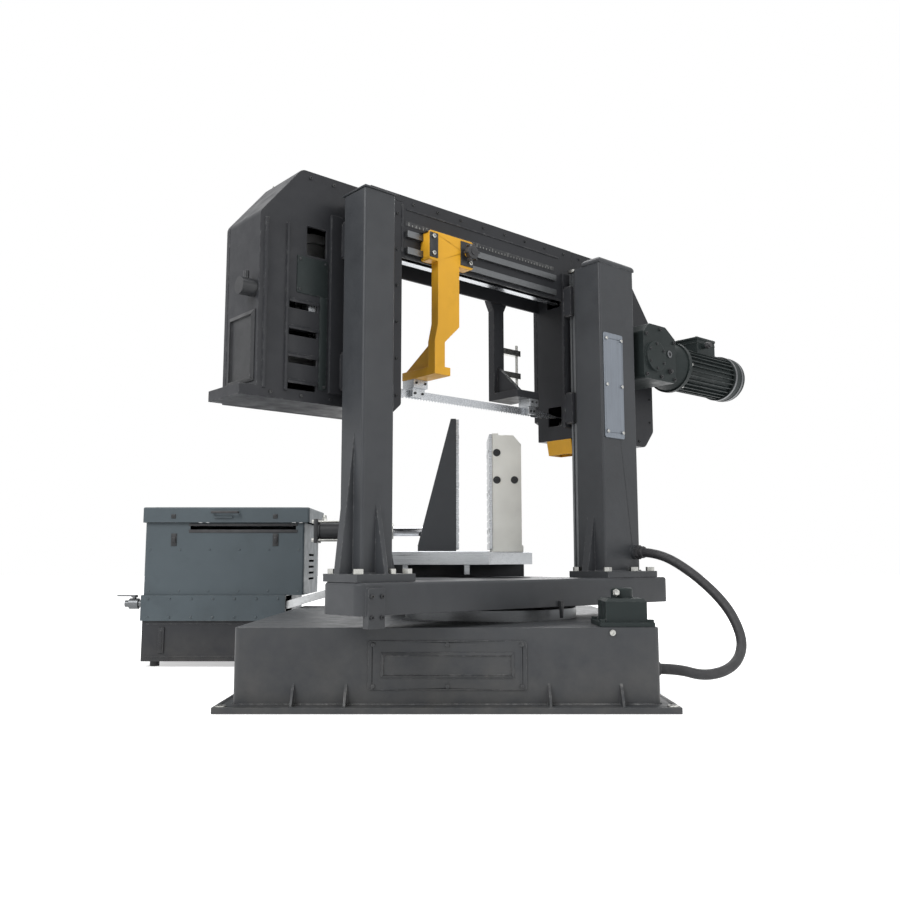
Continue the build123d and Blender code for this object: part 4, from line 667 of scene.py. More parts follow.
class SAW_OT_edges(bpy.types.Operator):
    """Rounds the edges of plate, sheet and machined pieces"""

    bl_idname = "saw.edges"
    bl_label = "Rounded edges"

    def execute(self, context):
        sizes = context.scene.saw_sizes
        for nodes, width in ((PLATE_NODES, sizes.plate_edge), (SHEET_NODES, sizes.sheet_edge),
                             (MACHINED_NODES, sizes.machined_edge)):
            for node in nodes:
                rounded_copy(node, width)
        return {"FINISHED"}


# Conduit between the swinging head and the base: the route's own points, in metres
GLAND_HEAD = (0.621, -0.388, 0.620)
GLAND_RUN = 0.120
CONDUIT_ROUTE = [
    tuple(HEAD @ Vector(GLAND_HEAD)),
    tuple(HEAD @ (Vector(GLAND_HEAD) - Vector((0, GLAND_RUN, 0)))),
    (0.933, -0.068, 0.530), (1.060, -0.166, 0.388), (1.098, -0.263, 0.252), (1.060, -0.350, 0.168),
    (0.982, -0.410, 0.116), (0.869, -0.440, 0.099), (0.765, -0.442, 0.130), (0.650, -0.442, 0.130),
]


class SAW_OT_conduit(bpy.types.Operator):
    """Lays the conduit from the right column down to the base"""

    bl_idname = "saw.conduit"
    bl_label = "Swivel conduit"

    def execute(self, context):
        width = context.scene.saw_sizes.conduit
        curve = bpy.data.curves.new("conduit_route", "CURVE")
        curve.dimensions = "3D"
        curve.resolution_u = 10
        spline = curve.splines.new("NURBS")
        spline.points.add(len(CONDUIT_ROUTE) - 1)
        for point, place in zip(spline.points, CONDUIT_ROUTE):
            point.co = (*place, 1.0)
        spline.order_u = 3
        spline.use_endpoint_u = True
        tube = bpy.data.objects.new("swivel_conduit_tube", curve)
        context.scene.collection.objects.link(tube)
        line = [tuple(v.co) for v in bpy.data.meshes.new_from_object(tube).vertices]
        curve.bevel_depth = width / 2
        curve.bevel_resolution = 6
        only(tube)
        bpy.ops.object.convert(target="MESH")
        bpy.ops.object.shade_smooth()
        coat(tube, "black_rubber")
        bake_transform(tube)
        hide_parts("swivel_conduit")
        return {"FINISHED"}


# Trim

class SAW_OT_bow_screws(bpy.types.Operator):
    """Cap screws round the housings' front plates and along the spine"""

    bl_idname = "saw.bow_screws"
    bl_label = "Bow screws"

    def execute(self, context):
        radius = context.scene.saw_sizes.small_screw
        left_low, left_high = head_box("left_door")
        right_low, right_high = head_box("right_door")
        spine_low, spine_high = head_box("bow_spine")
        left_top, right_top = head_box("left_housing")[1].z, spine_high.z
        inset = 0.028
        rows = (
            ([left_high.x - inset], steps(left_low.z + 0.08, left_top - 0.06, 6)),
            (steps(left_low.x + 0.22, left_high.x - 0.14, 4), [left_top - inset]),
            (steps(left_low.x + 0.06, left_high.x - 0.09, 5), [left_low.z + 0.022]),
            ([right_high.x - inset], steps(right_low.z + 0.14, right_top - 0.32, 5)),
            (steps(right_low.x + 0.06, right_high.x - 0.27, 4), [right_top - inset]),
            (steps(right_low.x + 0.06, right_high.x - 0.13, 5), [right_low.z + inset]),
            (steps(left_high.x + 0.06, right_low.x - 0.06, 8), [right_top - inset]),
        )
        spots = [spot for row in rows for spot in grid(*row)]
        screw = socket_screw(radius, radius * 0.9)
        fit_front(screw, spine_low.y, spots, "bow_cap_screws", "bow", "cylinder_black")
        return {"FINISHED"}


class SAW_OT_spine_seams(bpy.types.Operator):
    """Folded flange and lip along the spine, and the strap over its joint to the left housing"""

    bl_idname = "saw.spine_seams"
    bl_label = "Spine seams"

    def execute(self, context):
        low, high = head_box("bow_spine")
        left, right = head_box("left_door")[1].x, head_box("right_door")[0].x
        fold = plate(low.y, (left + 0.02, right - 0.1), (high.z - 0.062, high.z - 0.054), 0.004, 0.0015, 0.002)
        strap = plate(low.y, (left - 0.006, left + 0.006), (low.z + 0.02, high.z - 0.04), 0.003, 0.0012, 0.002)
        lip = plate(low.y, (left + 0.01, right - 0.09), (low.z - 0.002, low.z + 0.008), 0.003, 0.001, 0.003)
        fit_one([fold, strap, lip], "spine_seams", "bow", "bow_grey")
        return {"FINISHED"}


class SAW_OT_vents(bpy.types.Operator):
    """Pressed hoods over the left housing's slots, the dark panel beside them, which is partly painted shade
    beside the left column, and the hatch on its end
    """

    bl_idname = "saw.vents"
    bl_label = "Slot hoods"

    def execute(self, context):
        foot = head_box("left_door")[0].z
        face = head_box("bow_spine")[0].y
        hub = middle(head_box("idler_wheel"))
        slot_left, slot_right = hub.x - 0.205, hub.x - 0.078
        hoods = []
        for rise in (0.045, 0.149, 0.260, 0.368):
            top = foot + rise + 0.040
            hood = plate(face, (slot_left - 0.006, slot_right + 0.006), (top - 0.010, top), 0.009, 0.003)
            with picked(hood, "VERT", lambda p: p.y < face - 0.004):
                bpy.ops.transform.translate(value=(0, 0, -0.008))
            hoods.append(hood)
        fit_one(hoods, "slot_hoods", "bow", "bow_grey")

        # The dark panel is partly painted shade: it darkens the housing beside the left column
        shade_panel_left, shade_panel_right, thick = slot_left + 0.030, hub.x - 0.032, 0.004
        wide = plate(face, (shade_panel_left, shade_panel_right), (hub.z + 0.008, hub.z + 0.160), thick, 0.002)
        tall = plate(face, (slot_right + 0.010, shade_panel_right), (foot + 0.055, hub.z + 0.0085), thick, 0.002)
        fit_one([wide, tall], "idler_shade_panel", "bow", "drive_grey")
        spots = [(shade_panel_left + 0.012, hub.z + 0.146), (shade_panel_right - 0.012, hub.z + 0.146),
                 (shade_panel_left + 0.012, hub.z + 0.022), (shade_panel_right - 0.012, foot + 0.068)]
        fit_front(dome_screw(0.006, 0.003), face - thick, spots, "idler_panel_screws", "bow", "cylinder_black")

        end = hub.x - 0.340
        hatch = bar(end - 0.004, end + BITE, face + 0.020, face + 0.226, foot + 0.060, hub.z - 0.085, 0.002)
        press(hatch, lambda c, n: n.x < -0.9, 0.018, (0.003, 0, 0))
        fit_one([hatch], "end_hatch", "bow", "cylinder_black")
        return {"FINISHED"}


class SAW_OT_wipers(bpy.types.Operator):
    """Rubber wipers on the bearing blocks and stops on the rails' upper ends"""

    bl_idname = "saw.wipers"
    bl_label = "Rail wipers and stops"

    def execute(self, context):
        left_low, left_high = head_box("left_rail")
        right_low, right_high = head_box("right_rails")
        half = (left_high.x - left_low.x) / 2
        lines = (left_low.x + half, right_low.x + half, right_high.x - half)
        face, out, top = left_low.y, left_high.y, left_high.z
        wide, thick, edge, front = 0.043, 0.009, 0.0015, face + 0.053
        inner = half + 0.0025
        wiper = join([bar(-wide, -inner, face + 0.010, front, 0, thick, edge),
                      bar(inner, wide, face + 0.010, front, 0, thick, edge),
                      bar(-inner - 0.0001, inner + 0.0001, out + 0.0015, front, 0, thick, edge)])
        feet = (head_box("right_carriage")[0].z + 0.025, top - 0.220)
        levels = [z for foot in feet for z in (foot - thick, foot + BLOCK_HEIGHT)]
        fit(wiper, [shift(x, 0, z) for x, z in grid(lines, levels)], "rail_wipers", "bow", "black_rubber")
        stop = join([bar(-half - 0.008, half + 0.008, face + BITE, out + 0.004, 0, 0.016, 0.003),
                     bar(-half * 0.5, half * 0.5, face + 0.004, out - 0.004, -0.006, 0.004, 0.002)])
        fit(stop, [shift(x, 0, top + 0.0005) for x in lines], "rail_stops", "swivel", "zinc_fastener")
        return {"FINISHED"}


class SAW_OT_guides(bpy.types.Operator):
    """Knob, saddle screws and cutting-width scale of the moving guide, and the guide blocks' screws"""

    bl_idname = "saw.guides"
    bl_label = "Blade guide trim"

    def execute(self, context):
        rails = head_box("guide_rails")
        low, high = rails[0].z, rails[1].z
        arm_low, arm_high = head_box("moving_guide_arm")
        left, right = arm_low.x, arm_high.x
        face = head_box("bow_spine")[0].y
        front = face - SADDLE_DEPTH
        fit_front(star_knob(0.040, 0.024), front - 0.026, [(right - 0.040, (low + high) / 2)], "guide_knob",
                  "moving_guide", "black_rubber")
        plates = [plate(front, span, (low - 0.004, high + 0.004), 0.004, 0.002)
                  for span in ((left + 0.003, left + 0.050), (right - 0.076, right - 0.003))]
        fit_one(plates, "saddle_plates", "moving_guide", "cylinder_black")
        wipers = [bar(x0, x0 + 0.010, front + 0.004, face - 0.004, high + 0.003, high + 0.012, 0.002)
                  for x0 in (left - 0.009, right - 0.001)]
        fit_one(wipers, "saddle_wipers", "moving_guide", "black_rubber")
        fit_front(socket_screw(context.scene.saw_sizes.large_screw, 0.009), front - 0.004,
                  grid((left + 0.022, right - 0.022), (low + 0.014, high - 0.014)), "saddle_screws",
                  "moving_guide", "zinc_fastener")
        self.width_scale(face, rails, left + 0.122)
        for node, body in (("moving_guide_block", "moving_guide"), ("fixed_guide_block", "bow")):
            self.block_screws(node, body)
        return {"FINISHED"}

    def width_scale(self, face, rails, pointer):
        """A strip with ticks over the rails, and the pointer on the arm."""
        left, right, high = rails[0].x, rails[1].x, rails[1].z
        foot = high + 0.026
        strip = plate(face, (left, right), (foot, foot + 0.022), 0.0014, 0.0004, 0.0005)
        fit_one([strip], "width_scale", "bow", "cylinder_black")
        ticks = []
        for i, x in enumerate(steps(left + 0.02, right - 0.02, 46)):
            tall = 0.016 if i % 5 == 0 else 0.009
            ticks.append(shift(x, face - 0.0016, foot + 0.002) @ Matrix.Diagonal((1, 1, tall, 1)))
        fit(bar(-0.0008, 0.0008, -0.0002, 0.0004, 0, 1), ticks, "width_scale_ticks", "bow", "zinc_fastener")
        span, levels = (pointer - 0.004, pointer + 0.004), (high + 0.010, foot + 0.012)
        needle = plate(face, span, levels, 0.006, 0.001, -0.002)
        fit_one([needle], "width_pointer", "moving_guide", "zinc_fastener")

    def block_screws(self, node, body):
        """Two rows of screws on both sides of a guide block: its narrow foot and its wide top."""
        low, high = head_box(node)
        spots = [at(x, side * depth, z, way) for depth, z, inset in ((0.026, low.z + 0.016, 0.020),
                                                                     (0.040, high.z - 0.016, 0.016))
                 for x in (low.x + inset, high.x - inset) for side, way in ((-1, "near"), (1, "far"))]
        fit(socket_screw(0.0055, 0.005), spots, f"{node}_screws", body, "cylinder_black")


class SAW_OT_vise(bpy.types.Operator):
    """Jaw plate screws, jaw plugs, and the cylinder's tie rods and fittings"""

    bl_idname = "saw.vise"
    bl_label = "Vise trim"

    def execute(self, context):
        for node, body, side in (("fixed_jaw_plate", "base", "left"),
                                 ("moving_jaw_plate", "moving_jaw", "right")):
            low, high = base_box(node)
            x = low.x if side == "left" else high.x
            spots = [at(x, y, z, side) for y, z in grid((low.y + 0.045, high.y - 0.045),
                                                        (low.z + 0.10, (low.z + high.z) / 2, high.z - 0.09))]
            fit(socket_screw(0.011, 0.0012), spots, f"{node}_screws", body, "cylinder_black")
        low, high = base_box("fixed_jaw")
        left, lower = low.x + 0.026, high.z - 0.252
        plugs = [(left, high.z - 0.105), (left, lower), (low.x + 0.120, lower)]
        fit_front(socket_screw(0.020, 0.004), low.y, plugs, "fixed_jaw_plugs", "base", "cylinder_black")

        low, high = base_box("vise_cylinder")
        y, z = middle(base_box("vise_rod")).yz
        rod = disc(0.006, 0.330, 16, 0.001)
        rod.matrix_world = at(low.x - 0.004, 0, 0, "right")
        nut = disc(0.011, 0.012, 6, 0.001)
        nut.matrix_world = at(low.x, 0, 0, "left")
        ties = [shift(0, y + a, z + b) for a, b in grid((-0.050, 0.050), (-0.050, 0.050))]
        fit(join([rod, nut]), ties, "vise_cylinder_ties", "base", "zinc_fastener")
        end = bar(low.x, low.x + 0.022, y - 0.065, y + 0.065, z - 0.065, z + 0.065, 0.003)
        fit_one([end], "vise_cylinder_end", "base", "cylinder_black")
        ports = [at(x, y, z + 0.054) for x in (low.x + 0.050, low.x + 0.285)]
        fit(dome_nut(0.026, 0.034), ports, "vise_ports", "base", "zinc_fastener")
        gland = ring(0.0295, 0.044, 0.014, 40, 0.002)
        fit(gland, [at(high.x, y, z, "right")], "vise_gland", "base", "zinc_fastener")
        return {"FINISHED"}


class SAW_OT_drive(bpy.types.Operator):
    """Terminal box lid, bolts, bands and oil fittings of the drive"""

    bl_idname = "saw.drive"
    bl_label = "Drive trim"

    def execute(self, context):
        self.motor_trim()
        self.gearbox_trim()
        return {"FINISHED"}

    def motor_trim(self):
        low, high = head_box("drive_motor")
        fan_low, fan_high = head_box("motor_fan_cover")
        axis = (fan_low + fan_high) / 2
        x, top = low.x + 0.259, high.z
        lid = bar(x - 0.089, x + 0.089, axis.y - 0.074, axis.y + 0.074, top - 0.006, top + 0.008, 0.003)
        seam = bar(x - 0.087, x + 0.087, axis.y - 0.072, axis.y + 0.072, top - 0.028, top - 0.022, 0.001)
        fit_one([lid, seam], "terminal_lid", "bow", "drive_grey")
        corners = [at(x + a, axis.y + b, top + 0.008) for a, b in grid((-0.076, 0.076), (-0.061, 0.061))]
        fit(socket_screw(0.006, 0.005), corners, "terminal_screws", "bow", "zinc_fastener")
        gland = join([disc(0.019, 0.016, 6, 0.002), disc(0.014, 0.014, 20, 0.004, 0.016)])
        fit_front(gland, axis.y - 0.096, [(low.x + 0.224, axis.z + 0.140)], "terminal_gland", "bow",
                  "black_rubber")
        bolts = six_round(low.x + 0.024, axis.y, axis.z, "X", 0.126, "right", 0.5)
        fit(hex_bolt(0.016, 0.009, 0.0025), bolts, "motor_flange_bolts", "bow", "zinc_fastener")
        radius = fan_high.y - axis.y
        bands = [at(fan_low.x + run, axis.y, axis.z, "right") for run in (0.002, 0.062)]
        band = ring(radius - 0.001, radius + 0.0025, 0.016, 64, 0.001)
        fit(band, bands, "fan_cover_bands", "bow", "oiled_steel")

    def gearbox_trim(self):
        shaft = middle(head_box("drive_shaft"))
        x, z = shaft.x, middle(head_box("motor_fan_cover")).z
        front = head_box("gearbox")[0].y
        cover = front + 0.016
        cap = six_round(x, front, z, "Y", 0.064, "near")
        fit(socket_screw(0.0065, 0.006), cap, "gearbox_cap_screws", "bow", "cylinder_black")
        rim = [(x + a, z + b) for a, b in ((-0.070, -0.100), (0.165, -0.100), (0.165, 0.095), (-0.070, 0.110),
                                           (0.050, 0.150), (0.050, -0.100))]
        fit_front(socket_screw(0.009, 0.009), cover, rim, "gearbox_screws", "bow", "cylinder_black")
        oil = x + 0.125
        plugs = [at(oil, cover, z - 0.062, "near"), at(x + 0.020, shaft.y - 0.08, z + 0.169)]
        fit(dome_nut(0.024, 0.022), plugs, "oil_plugs", "bow", "cylinder_black")
        glass = [(oil, z + 0.030)]
        fit_front(ring(0.010, 0.019, 0.006, 32, 0.0015), cover, glass, "oil_glass_rim", "bow", "oiled_steel")
        fit_front(disc(0.0105, 0.003, 28, 0.001), cover, glass, "oil_glass", "bow", "cylinder_black")


class SAW_OT_unit(bpy.types.Operator):
    """Latches, lid grip, black strips round the slot that are partly painted shade under the lid, level glass,
    seams and sheet screws of the floor unit
    """

    bl_idname = "saw.unit"
    bl_label = "Unit trim"

    def execute(self, context):
        self.cabinet_trim()
        self.tank_trim()
        self.lid_trim()
        return {"FINISHED"}

    def cabinet_trim(self):
        low, high = base_box("unit_cabinet")
        step_low, step_high = base_box("tank_step")
        front, rim = low.y, step_high.z + CABINET_HEIGHT
        plates, hooks = [], []
        for x in (low.x + 0.16, high.x - 0.16):
            plates += [plate(front, (x - 0.016, x + 0.016), (rim - 0.130, rim - 0.060), 0.004, 0.002),
                       plate(front, (x - 0.011, x + 0.011), (rim - 0.110, rim - 0.080), 0.012, 0.003, -0.003)]
            hooks.append(plate(front, (x - 0.013, x + 0.013), (rim + 0.022, rim + 0.046), 0.026, 0.002, -0.021))
        # Black rubber strips above and below the slot, which widen the dark band under the lid: partly painted
        # shade
        shade_strips = [plate(front, (low.x + 0.242, high.x - 0.039), levels, 0.005, 0.002)
                  for levels in ((rim - 0.056, rim - 0.0385), (rim - 0.0175, rim - 0.006))]
        fit_one(shade_strips, "slot_shade_strips", "base", "black_rubber")
        fit_one(plates, "latch_bodies", "base", "cylinder_black")
        fit_one(hooks, "latch_hooks", "unit_lid", "cylinder_black")
        spots = grid(steps(low.x + 0.03, high.x - 0.03, 6), (step_high.z + 0.022, rim - 0.150))
        fit_front(dome_screw(0.006, 0.003), front, spots, "cabinet_screws", "base", "unit_grey")
        belt = grid(steps(step_low.x + 0.04, step_high.x - 0.04, 7), (step_low.z + 0.020, step_high.z - 0.020))
        fit_front(dome_screw(0.007, 0.004), step_low.y, belt, "belt_screws", "base", "unit_grey")

    def tank_trim(self):
        low, high = base_box("coolant_tank")
        x = low.x + 0.110
        holder = plate(low.y, (x - 0.017, x + 0.017), (0.075, 0.215), 0.010, 0.004)
        fit_one([holder], "level_frame", "base", "tank_dark")
        tube = plate(low.y, (x - 0.007, x + 0.007), (0.092, 0.198), 0.0125, 0.002, -0.006)
        fit_one([tube], "level_tube", "base", "cylinder_black")
        seams = [plate(low.y, (low.x + 0.02, high.x - 0.02), (z, z + 0.010), 0.003, 0.0015, 0.002)
                 for z in (0.050, 0.228)]
        fit_one(seams, "tank_seams", "base", "tank_dark")

    def lid_trim(self):
        low, high = base_box("unit_lid")
        panel = bar(low.x + 0.05, high.x - 0.05, low.y + 0.06, high.y - 0.08, high.z - 0.002, high.z + 0.003,
                    0.0025)
        fit_one([panel], "lid_panel", "unit_lid", "unit_grey")
        x, z = (low.x + high.x) / 2, base_box("tank_step")[1].z + CABINET_HEIGHT + 0.056
        legs = [plate(low.y, (x + a - 0.006, x + a + 0.006), (z - 0.006, z + 0.006), 0.022, 0.002)
                for a in (-0.07, 0.07)]
        grip = plate(low.y, (x - 0.076, x + 0.076), (z - 0.007, z + 0.007), 0.032, 0.004, -0.020)
        fit_one([*legs, grip], "lid_grip", "unit_lid", "black_rubber")


class SAW_OT_mitre_scale(bpy.types.Operator):
    """Arc with degree marks on the base and the pointer on the cross beam"""

    bl_idname = "saw.mitre_scale"
    bl_label = "Mitre scale"

    def execute(self, context):
        count = context.scene.saw_sizes.scale_ticks
        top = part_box("slew_ring_outer")[0][2]
        inner, outer = 0.446, 0.496
        square, margin = math.radians(-90), math.radians(3)
        reach = math.radians(count) + 2 * margin
        bpy.ops.mesh.primitive_plane_add(size=1, location=((inner + outer) / 2, 0, 0))
        arc = context.object
        arc.scale = (outer - inner, 0.003, 1)
        arc.rotation_euler = (math.pi / 2, 0, 0)
        bake_place()
        with picked(arc, "FACE", lambda c, n: True):
            bpy.ops.mesh.spin(steps=64, angle=reach, center=(0, 0, 0), axis=(0, 0, 1))
            bpy.ops.mesh.select_all(action="SELECT")
            bpy.ops.mesh.remove_doubles(threshold=1e-6)
            bpy.ops.mesh.normals_make_consistent(inside=False)
        arc.matrix_world = shift(0, 0, top + 0.0014) @ Matrix.Rotation(square - margin, 4, "Z")
        fit_one([arc], "mitre_scale", "base", "cylinder_black")
        ticks = []
        for i in range(count + 1):
            long = 0.030 if i % 5 == 0 else 0.016
            ticks.append(shift(0, 0, top + 0.0028) @ Matrix.Rotation(square + math.radians(i), 4, "Z")
                         @ shift(inner + 0.002, 0, 0) @ Matrix.Diagonal((long, 1, 1, 1)))
        fit(bar(0, 1, -0.0009, 0.0009, 0, 0.0004), ticks, "mitre_scale_ticks", "base", "zinc_fastener")
        tip = top + 0.012
        pointer = plate(BEAM_FRONT, (-0.011, 0.011), (tip, top + 0.085), 0.016, 0.0015)
        with picked(pointer, "VERT", lambda p: p.z < top + 0.016):
            bpy.ops.transform.resize(value=(0.12, 1, 1), center_override=(0, BEAM_FRONT - 0.008, tip))
        fit_one([pointer], "mitre_pointer", "swivel", "cylinder_black")
        return {"FINISHED"}


class SAW_OT_glands(bpy.types.Operator):
    """Screwed glands where the conduit enters the column and the base"""

    bl_idname = "saw.glands"
    bl_label = "Conduit glands"

    def execute(self, context):
        for name, body, spot in (("column_gland", "swivel", at(*GLAND_HEAD, "near")),
                                 ("base_gland", "base", at(*CONDUIT_ROUTE[-1], "right"))):
            gland = join([disc(0.034, 0.022, 6, 0.003), disc(0.029, 0.020, 28, 0.006, 0.022)])
            fit(gland, [spot], name, body, "black_rubber")
        return {"FINISHED"}


class SAW_OT_columns(bpy.types.Operator):
    """Weld seams at the columns' feet, the left column's cap and the shoe's screws"""

    bl_idname = "saw.columns"
    bl_label = "Column trim"

    def execute(self, context):
        foot = head_box("column_bolts")[0].z
        beads = []
        for x0, x1, y0, y1 in COLUMN_FEET.values():
            for start, end in (((x0, y0), (x1, y0)), ((x0, y0), (x0, y1)), ((x1, y0), (x1, y1))):
                beads.append(weld((*start, foot), (*end, foot), 0.006))
        fit_one(beads, "column_welds", "swivel", "machine_grey")
        x0, x1, y0, y1 = COLUMN_FEET["left"]
        top = head_box("left_column")[1].z
        fit_one([bar(x0 - 0.005, x1 + 0.005, y0 - 0.005, y1 + 0.005, top, top + 0.008, 0.003)], "column_cap",
                "swivel", "machine_grey")
        fit_front(socket_screw(0.008, 0.007), SHOE_FRONT, grid((x0 - 0.025, x0 + 0.020), (0.375, 0.450)),
                  "shoe_screws", "swivel", "cylinder_black")
        return {"FINISHED"}


class SAW_OT_base_trim(bpy.types.Operator):
    """Weld seams along the foot flange, anchor washers, the mitre stop's connector and the transport screw"""

    bl_idname = "saw.base_trim"
    bl_label = "Base trim"

    def execute(self, context):
        low, high = base_box("base_body")
        x0, x1, y0, y1 = low.x + FLANGE_WIDTH, BASE_RIGHT, low.y + FLANGE_WIDTH, high.y - FLANGE_WIDTH
        gap = 0.02
        beads = [weld((*start, FLANGE_TOP), (*end, FLANGE_TOP), 0.007)
                 for start, end in (((x0 + gap, y0), (x1 - gap, y0)), ((x1, y0 + gap), (x1, y1 - gap)),
                                    ((x0, y0 + gap), (x0, y1 - gap)))]
        fit_one(beads, "flange_welds", "base", "machine_grey")
        out = 0.035
        spots = [at(x, y, FLANGE_TOP) for x, y in grid((x0 - out, x1 + out), (y0 - out, y1 + out))]
        fit(ring(0.0115, 0.022, 0.004, 32, 0.001), spots, "anchor_washers", "base", "zinc_fastener")
        stop_low, stop_high = base_box("mitre_stop")
        plug = join([disc(0.015, 0.010, 6, 0.002), disc(0.011, 0.014, 20, 0.003, 0.010)])
        fit_front(plug, STOP_FRONT, [((stop_low.x + stop_high.x) / 2 - 0.030, stop_high.z - 0.018)],
                  "stop_connector", "base", "zinc_fastener")
        fit_front(socket_screw(0.012, 0.010), y0, [(stop_low.x + 0.046, 0.300)], "transport_screw", "base",
                  "zinc_fastener")
        return {"FINISHED"}


class SAW_OT_wheels(bpy.types.Operator):
    """Hub screws of both band wheels"""

    bl_idname = "saw.wheels"
    bl_label = "Wheel trim"

    def execute(self, context):
        for node, body in (("idler_wheel", "idler_wheel"), ("drive_wheel", "drive")):
            hub = middle(head_box(node))
            fit(socket_screw(0.0055, 0.006), six_round(hub.x, HUB_FACE, hub.z, "Y", 0.0615, "far"),
                f"{node}_screws", body, "cylinder_black")
        return {"FINISHED"}


class SAW_OT_doors(bpy.types.Operator):
    """Pressed panels and quarter-turn latches on the wheel doors"""

    bl_idname = "saw.doors"
    bl_label = "Door trim"

    def execute(self, context):
        for node in ("left_door", "right_door"):
            low, high = head_box(node)
            panel = bar(low.x + 0.20, high.x - 0.13, DOOR_FACE - 0.002, DOOR_FACE + 0.005, low.z + 0.30,
                        high.z - 0.22, 0.004)
            press(panel, lambda c, n: n.y > 0.9, 0.03, (0, -0.003, 0))
            fit_one([panel], f"{node}_panel", node, "bow_grey")
            latch = join([disc(0.022, 0.006, 32, 0.002),
                          bar(-0.005, 0.005, -0.017, 0.017, 0.004, 0.012, 0.002)])
            spots = [at(x, DOOR_FACE, low.z + 0.045, "far") for x in (low.x + 0.12, high.x - 0.14)]
            fit(latch, spots, f"{node}_latches", node, "black_rubber")
        return {"FINISHED"}


class SAW_OT_cover_screws(bpy.types.Operator):
    """Screws of the pale cover on the right column and of the base cover, and the base cover's pressing"""

    bl_idname = "saw.cover_screws"
    bl_label = "Cover screws"

    def execute(self, context):
        low, high = head_box("column_cover")
        spots = grid((low.x + 0.016, high.x - 0.016), (low.z + 0.030, (low.z + high.z) / 2, high.z - 0.030))
        fit_front(dome_screw(0.0085, 0.004), low.y, spots, "column_cover_screws", "swivel", "zinc_fastener")
        low, high = base_box("base_cover")
        spots = grid((low.x + 0.020, (low.x + high.x) / 2, high.x - 0.020), (low.z + 0.015, high.z - 0.015))
        fit_front(dome_screw(0.0085, 0.004), low.y, spots, "base_cover_screws", "base", "machine_grey")
        pressing = bar(low.x + 0.05, high.x - 0.05, low.y + 0.002, low.y + 0.006, low.z + 0.045, high.z - 0.045,
                       0.0015)
        press(pressing, lambda c, n: n.y < -0.9, 0.012, (0, 0.002, 0))
        fit_one([pressing], "base_cover_pressing", "base", "machine_grey")
        return {"FINISHED"}


# Stage: name, place, aim, size and power of each lamp
LAMPS = (
    ("key_lamp", (-3.6, -4.2, 4.6), (-0.2, 0.0, 1.2), 3.2, 260.0),
    ("fill_lamp", (4.4, -3.6, 3.0), (0.2, 0.0, 1.0), 3.6, 80.0),
    ("top_lamp", (0.0, 1.0, 5.6), (0.0, 0.0, 1.0), 4.0, 150.0),
    ("back_lamp", (1.5, 5.0, 3.4), (0.0, 0.4, 1.0), 3.0, 90.0),
)
FLOOR_SIZE = 60
FLOOR_LEVEL = -0.001


class SAW_OT_stage(bpy.types.Operator):
    """Sets the floor, the soft lights and the camera"""

    bl_idname = "saw.stage"
    bl_label = "Stage"

    def execute(self, context):
        scene = context.scene
        scene.view_settings.view_transform = "Standard"
        stage = scene.saw_stage
        bpy.ops.mesh.primitive_plane_add(size=FLOOR_SIZE, location=(0, 0, FLOOR_LEVEL))
        floor = context.object
        floor.name = "floor"
        floor.data.materials.append(pale_floor())
        pale_world(scene)
        for lamp in LAMPS:
            soft_lamp(*lamp)
        tilt = math.pi / 2 + stage.camera_pitch
        bpy.ops.object.camera_add(location=stage.camera_place, rotation=(tilt, 0, 0))
        camera = context.object
        camera.data.sensor_width = 36
        camera.data.lens = stage.lens
        scene.camera = camera
        return {"FINISHED"}


def soft_lamp(name, place, aim, size, power):
    """A square area lamp that points at aim."""
    turn = (Vector(aim) - Vector(place)).to_track_quat("-Z", "Y").to_euler()
    bpy.ops.object.light_add(type="AREA", location=place, rotation=turn)
    lamp = bpy.context.object
    lamp.name = name
    lamp.data.size = size
    lamp.data.energy = power


def seen_directly(tree):
    """1 for rays that come from the camera, a mirror or glass, and 0 for light bounced to the object."""
    path = tree.nodes.new("ShaderNodeLightPath")
    total = path.outputs["Is Camera Ray"]
    for name in ("Is Glossy Ray", "Is Transmission Ray"):
        either = tree.nodes.new("ShaderNodeMath")
        either.operation = "MAXIMUM"
        tree.links.new(total, either.inputs[0])
        tree.links.new(path.outputs[name], either.inputs[1])
        total = either.outputs[0]
    return total


def pale_floor():
    """Pale floor that takes the object's shadow; a painted glow, seen by camera and mirror rays, rises from
    half strength near the object to full strength far out, so the floor reads white there.
    """
    g = Graph("pale_floor")
    g.set("Base Color", (0.86, 0.86, 0.86, 1))
    g.set("Roughness", 0.9)
    g.set("Emission Color", (1, 1, 1, 1))
    reach = g.node("ShaderNodeVectorMath", [(0, g.coords)], operation="LENGTH").outputs["Value"]
    glow = g.ramp(reach, 1.6, 4.5, 0.5, 1.0)
    g.set("Emission Strength", g.math("MULTIPLY", seen_directly(g.tree), glow))
    return g.material


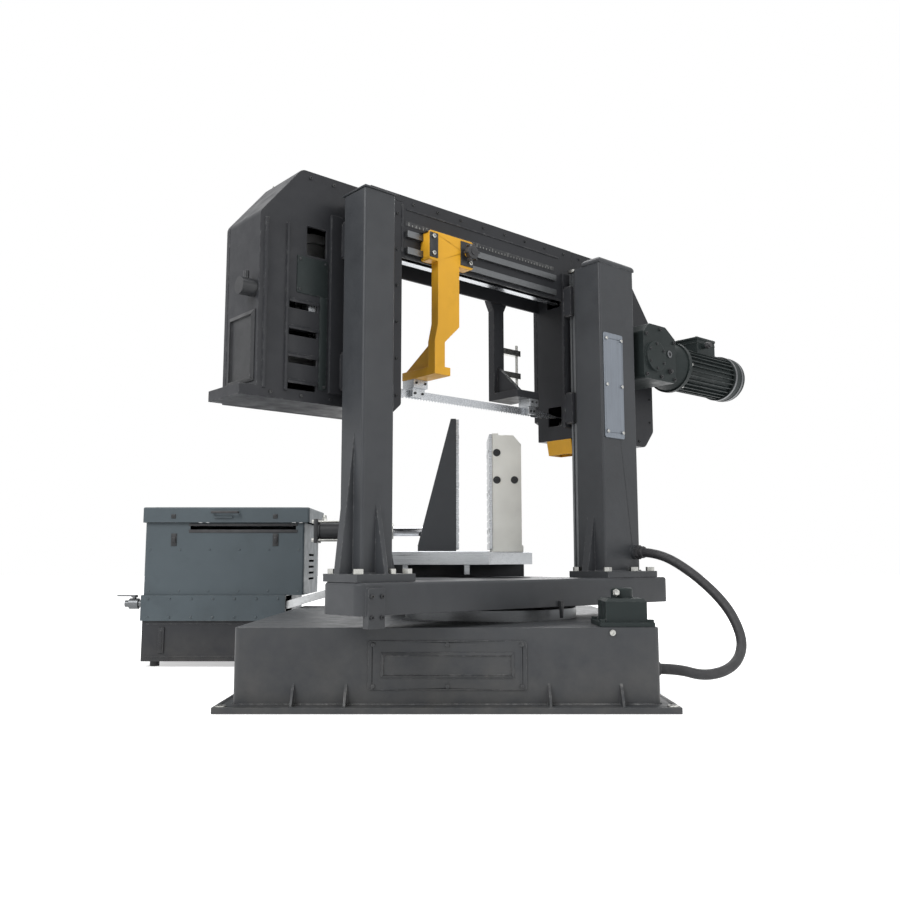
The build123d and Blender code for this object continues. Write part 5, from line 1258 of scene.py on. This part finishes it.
def pale_world(scene):
    """Soft grey light all round, with white behind the object."""
    world = bpy.data.worlds.new("studio")
    world.use_nodes = True
    scene.world = world
    tree = world.node_tree
    ground = tree.nodes["Background"]
    ground.inputs["Color"].default_value = (1, 1, 1, 1)
    mix = tree.nodes.new("ShaderNodeMapRange")
    mix.inputs["To Min"].default_value = 0.55
    mix.inputs["To Max"].default_value = 1.0
    tree.links.new(seen_directly(tree), mix.inputs["Value"])
    tree.links.new(mix.outputs["Result"], ground.inputs["Strength"])


class SAW_PT_panel(bpy.types.Panel):
    """Lists the steps that dress the saw"""

    bl_label = "Band saw"
    bl_idname = "SAW_PT_panel"
    bl_space_type = "VIEW_3D"
    bl_region_type = "UI"
    bl_category = "Band saw"

    def draw(self, context):
        for step in STEPS:
            self.layout.operator(step.bl_idname)
        for group in (context.scene.saw_sizes, context.scene.saw_finish, context.scene.saw_stage):
            box = self.layout.box()
            for key in group.__annotations__:
                box.prop(group, key)


GROUPS = {"saw_sizes": SawSizes, "saw_finish": SawFinish, "saw_stage": SawStage}
STEPS = (SAW_OT_finishes, SAW_OT_conduit, SAW_OT_edges, SAW_OT_bow_screws, SAW_OT_spine_seams, SAW_OT_vents,
         SAW_OT_wipers, SAW_OT_guides, SAW_OT_vise, SAW_OT_drive, SAW_OT_unit, SAW_OT_mitre_scale,
         SAW_OT_glands, SAW_OT_columns, SAW_OT_base_trim, SAW_OT_wheels, SAW_OT_doors, SAW_OT_cover_screws,
         SAW_OT_stage)


def register():
    for group in (*GROUPS.values(), *STEPS, SAW_PT_panel):
        bpy.utils.register_class(group)
    for name, group in GROUPS.items():
        setattr(bpy.types.Scene, name, PointerProperty(type=group))


def unregister():
    for name in GROUPS:
        delattr(bpy.types.Scene, name)
    for group in (SAW_PT_panel, *reversed(STEPS), *reversed(GROUPS.values())):
        bpy.utils.unregister_class(group)


def main():
    register()
    for step in STEPS:
        family, action = step.bl_idname.split(".")
        getattr(getattr(bpy.ops, family), action)()


if __name__ == "__main__":
    main()
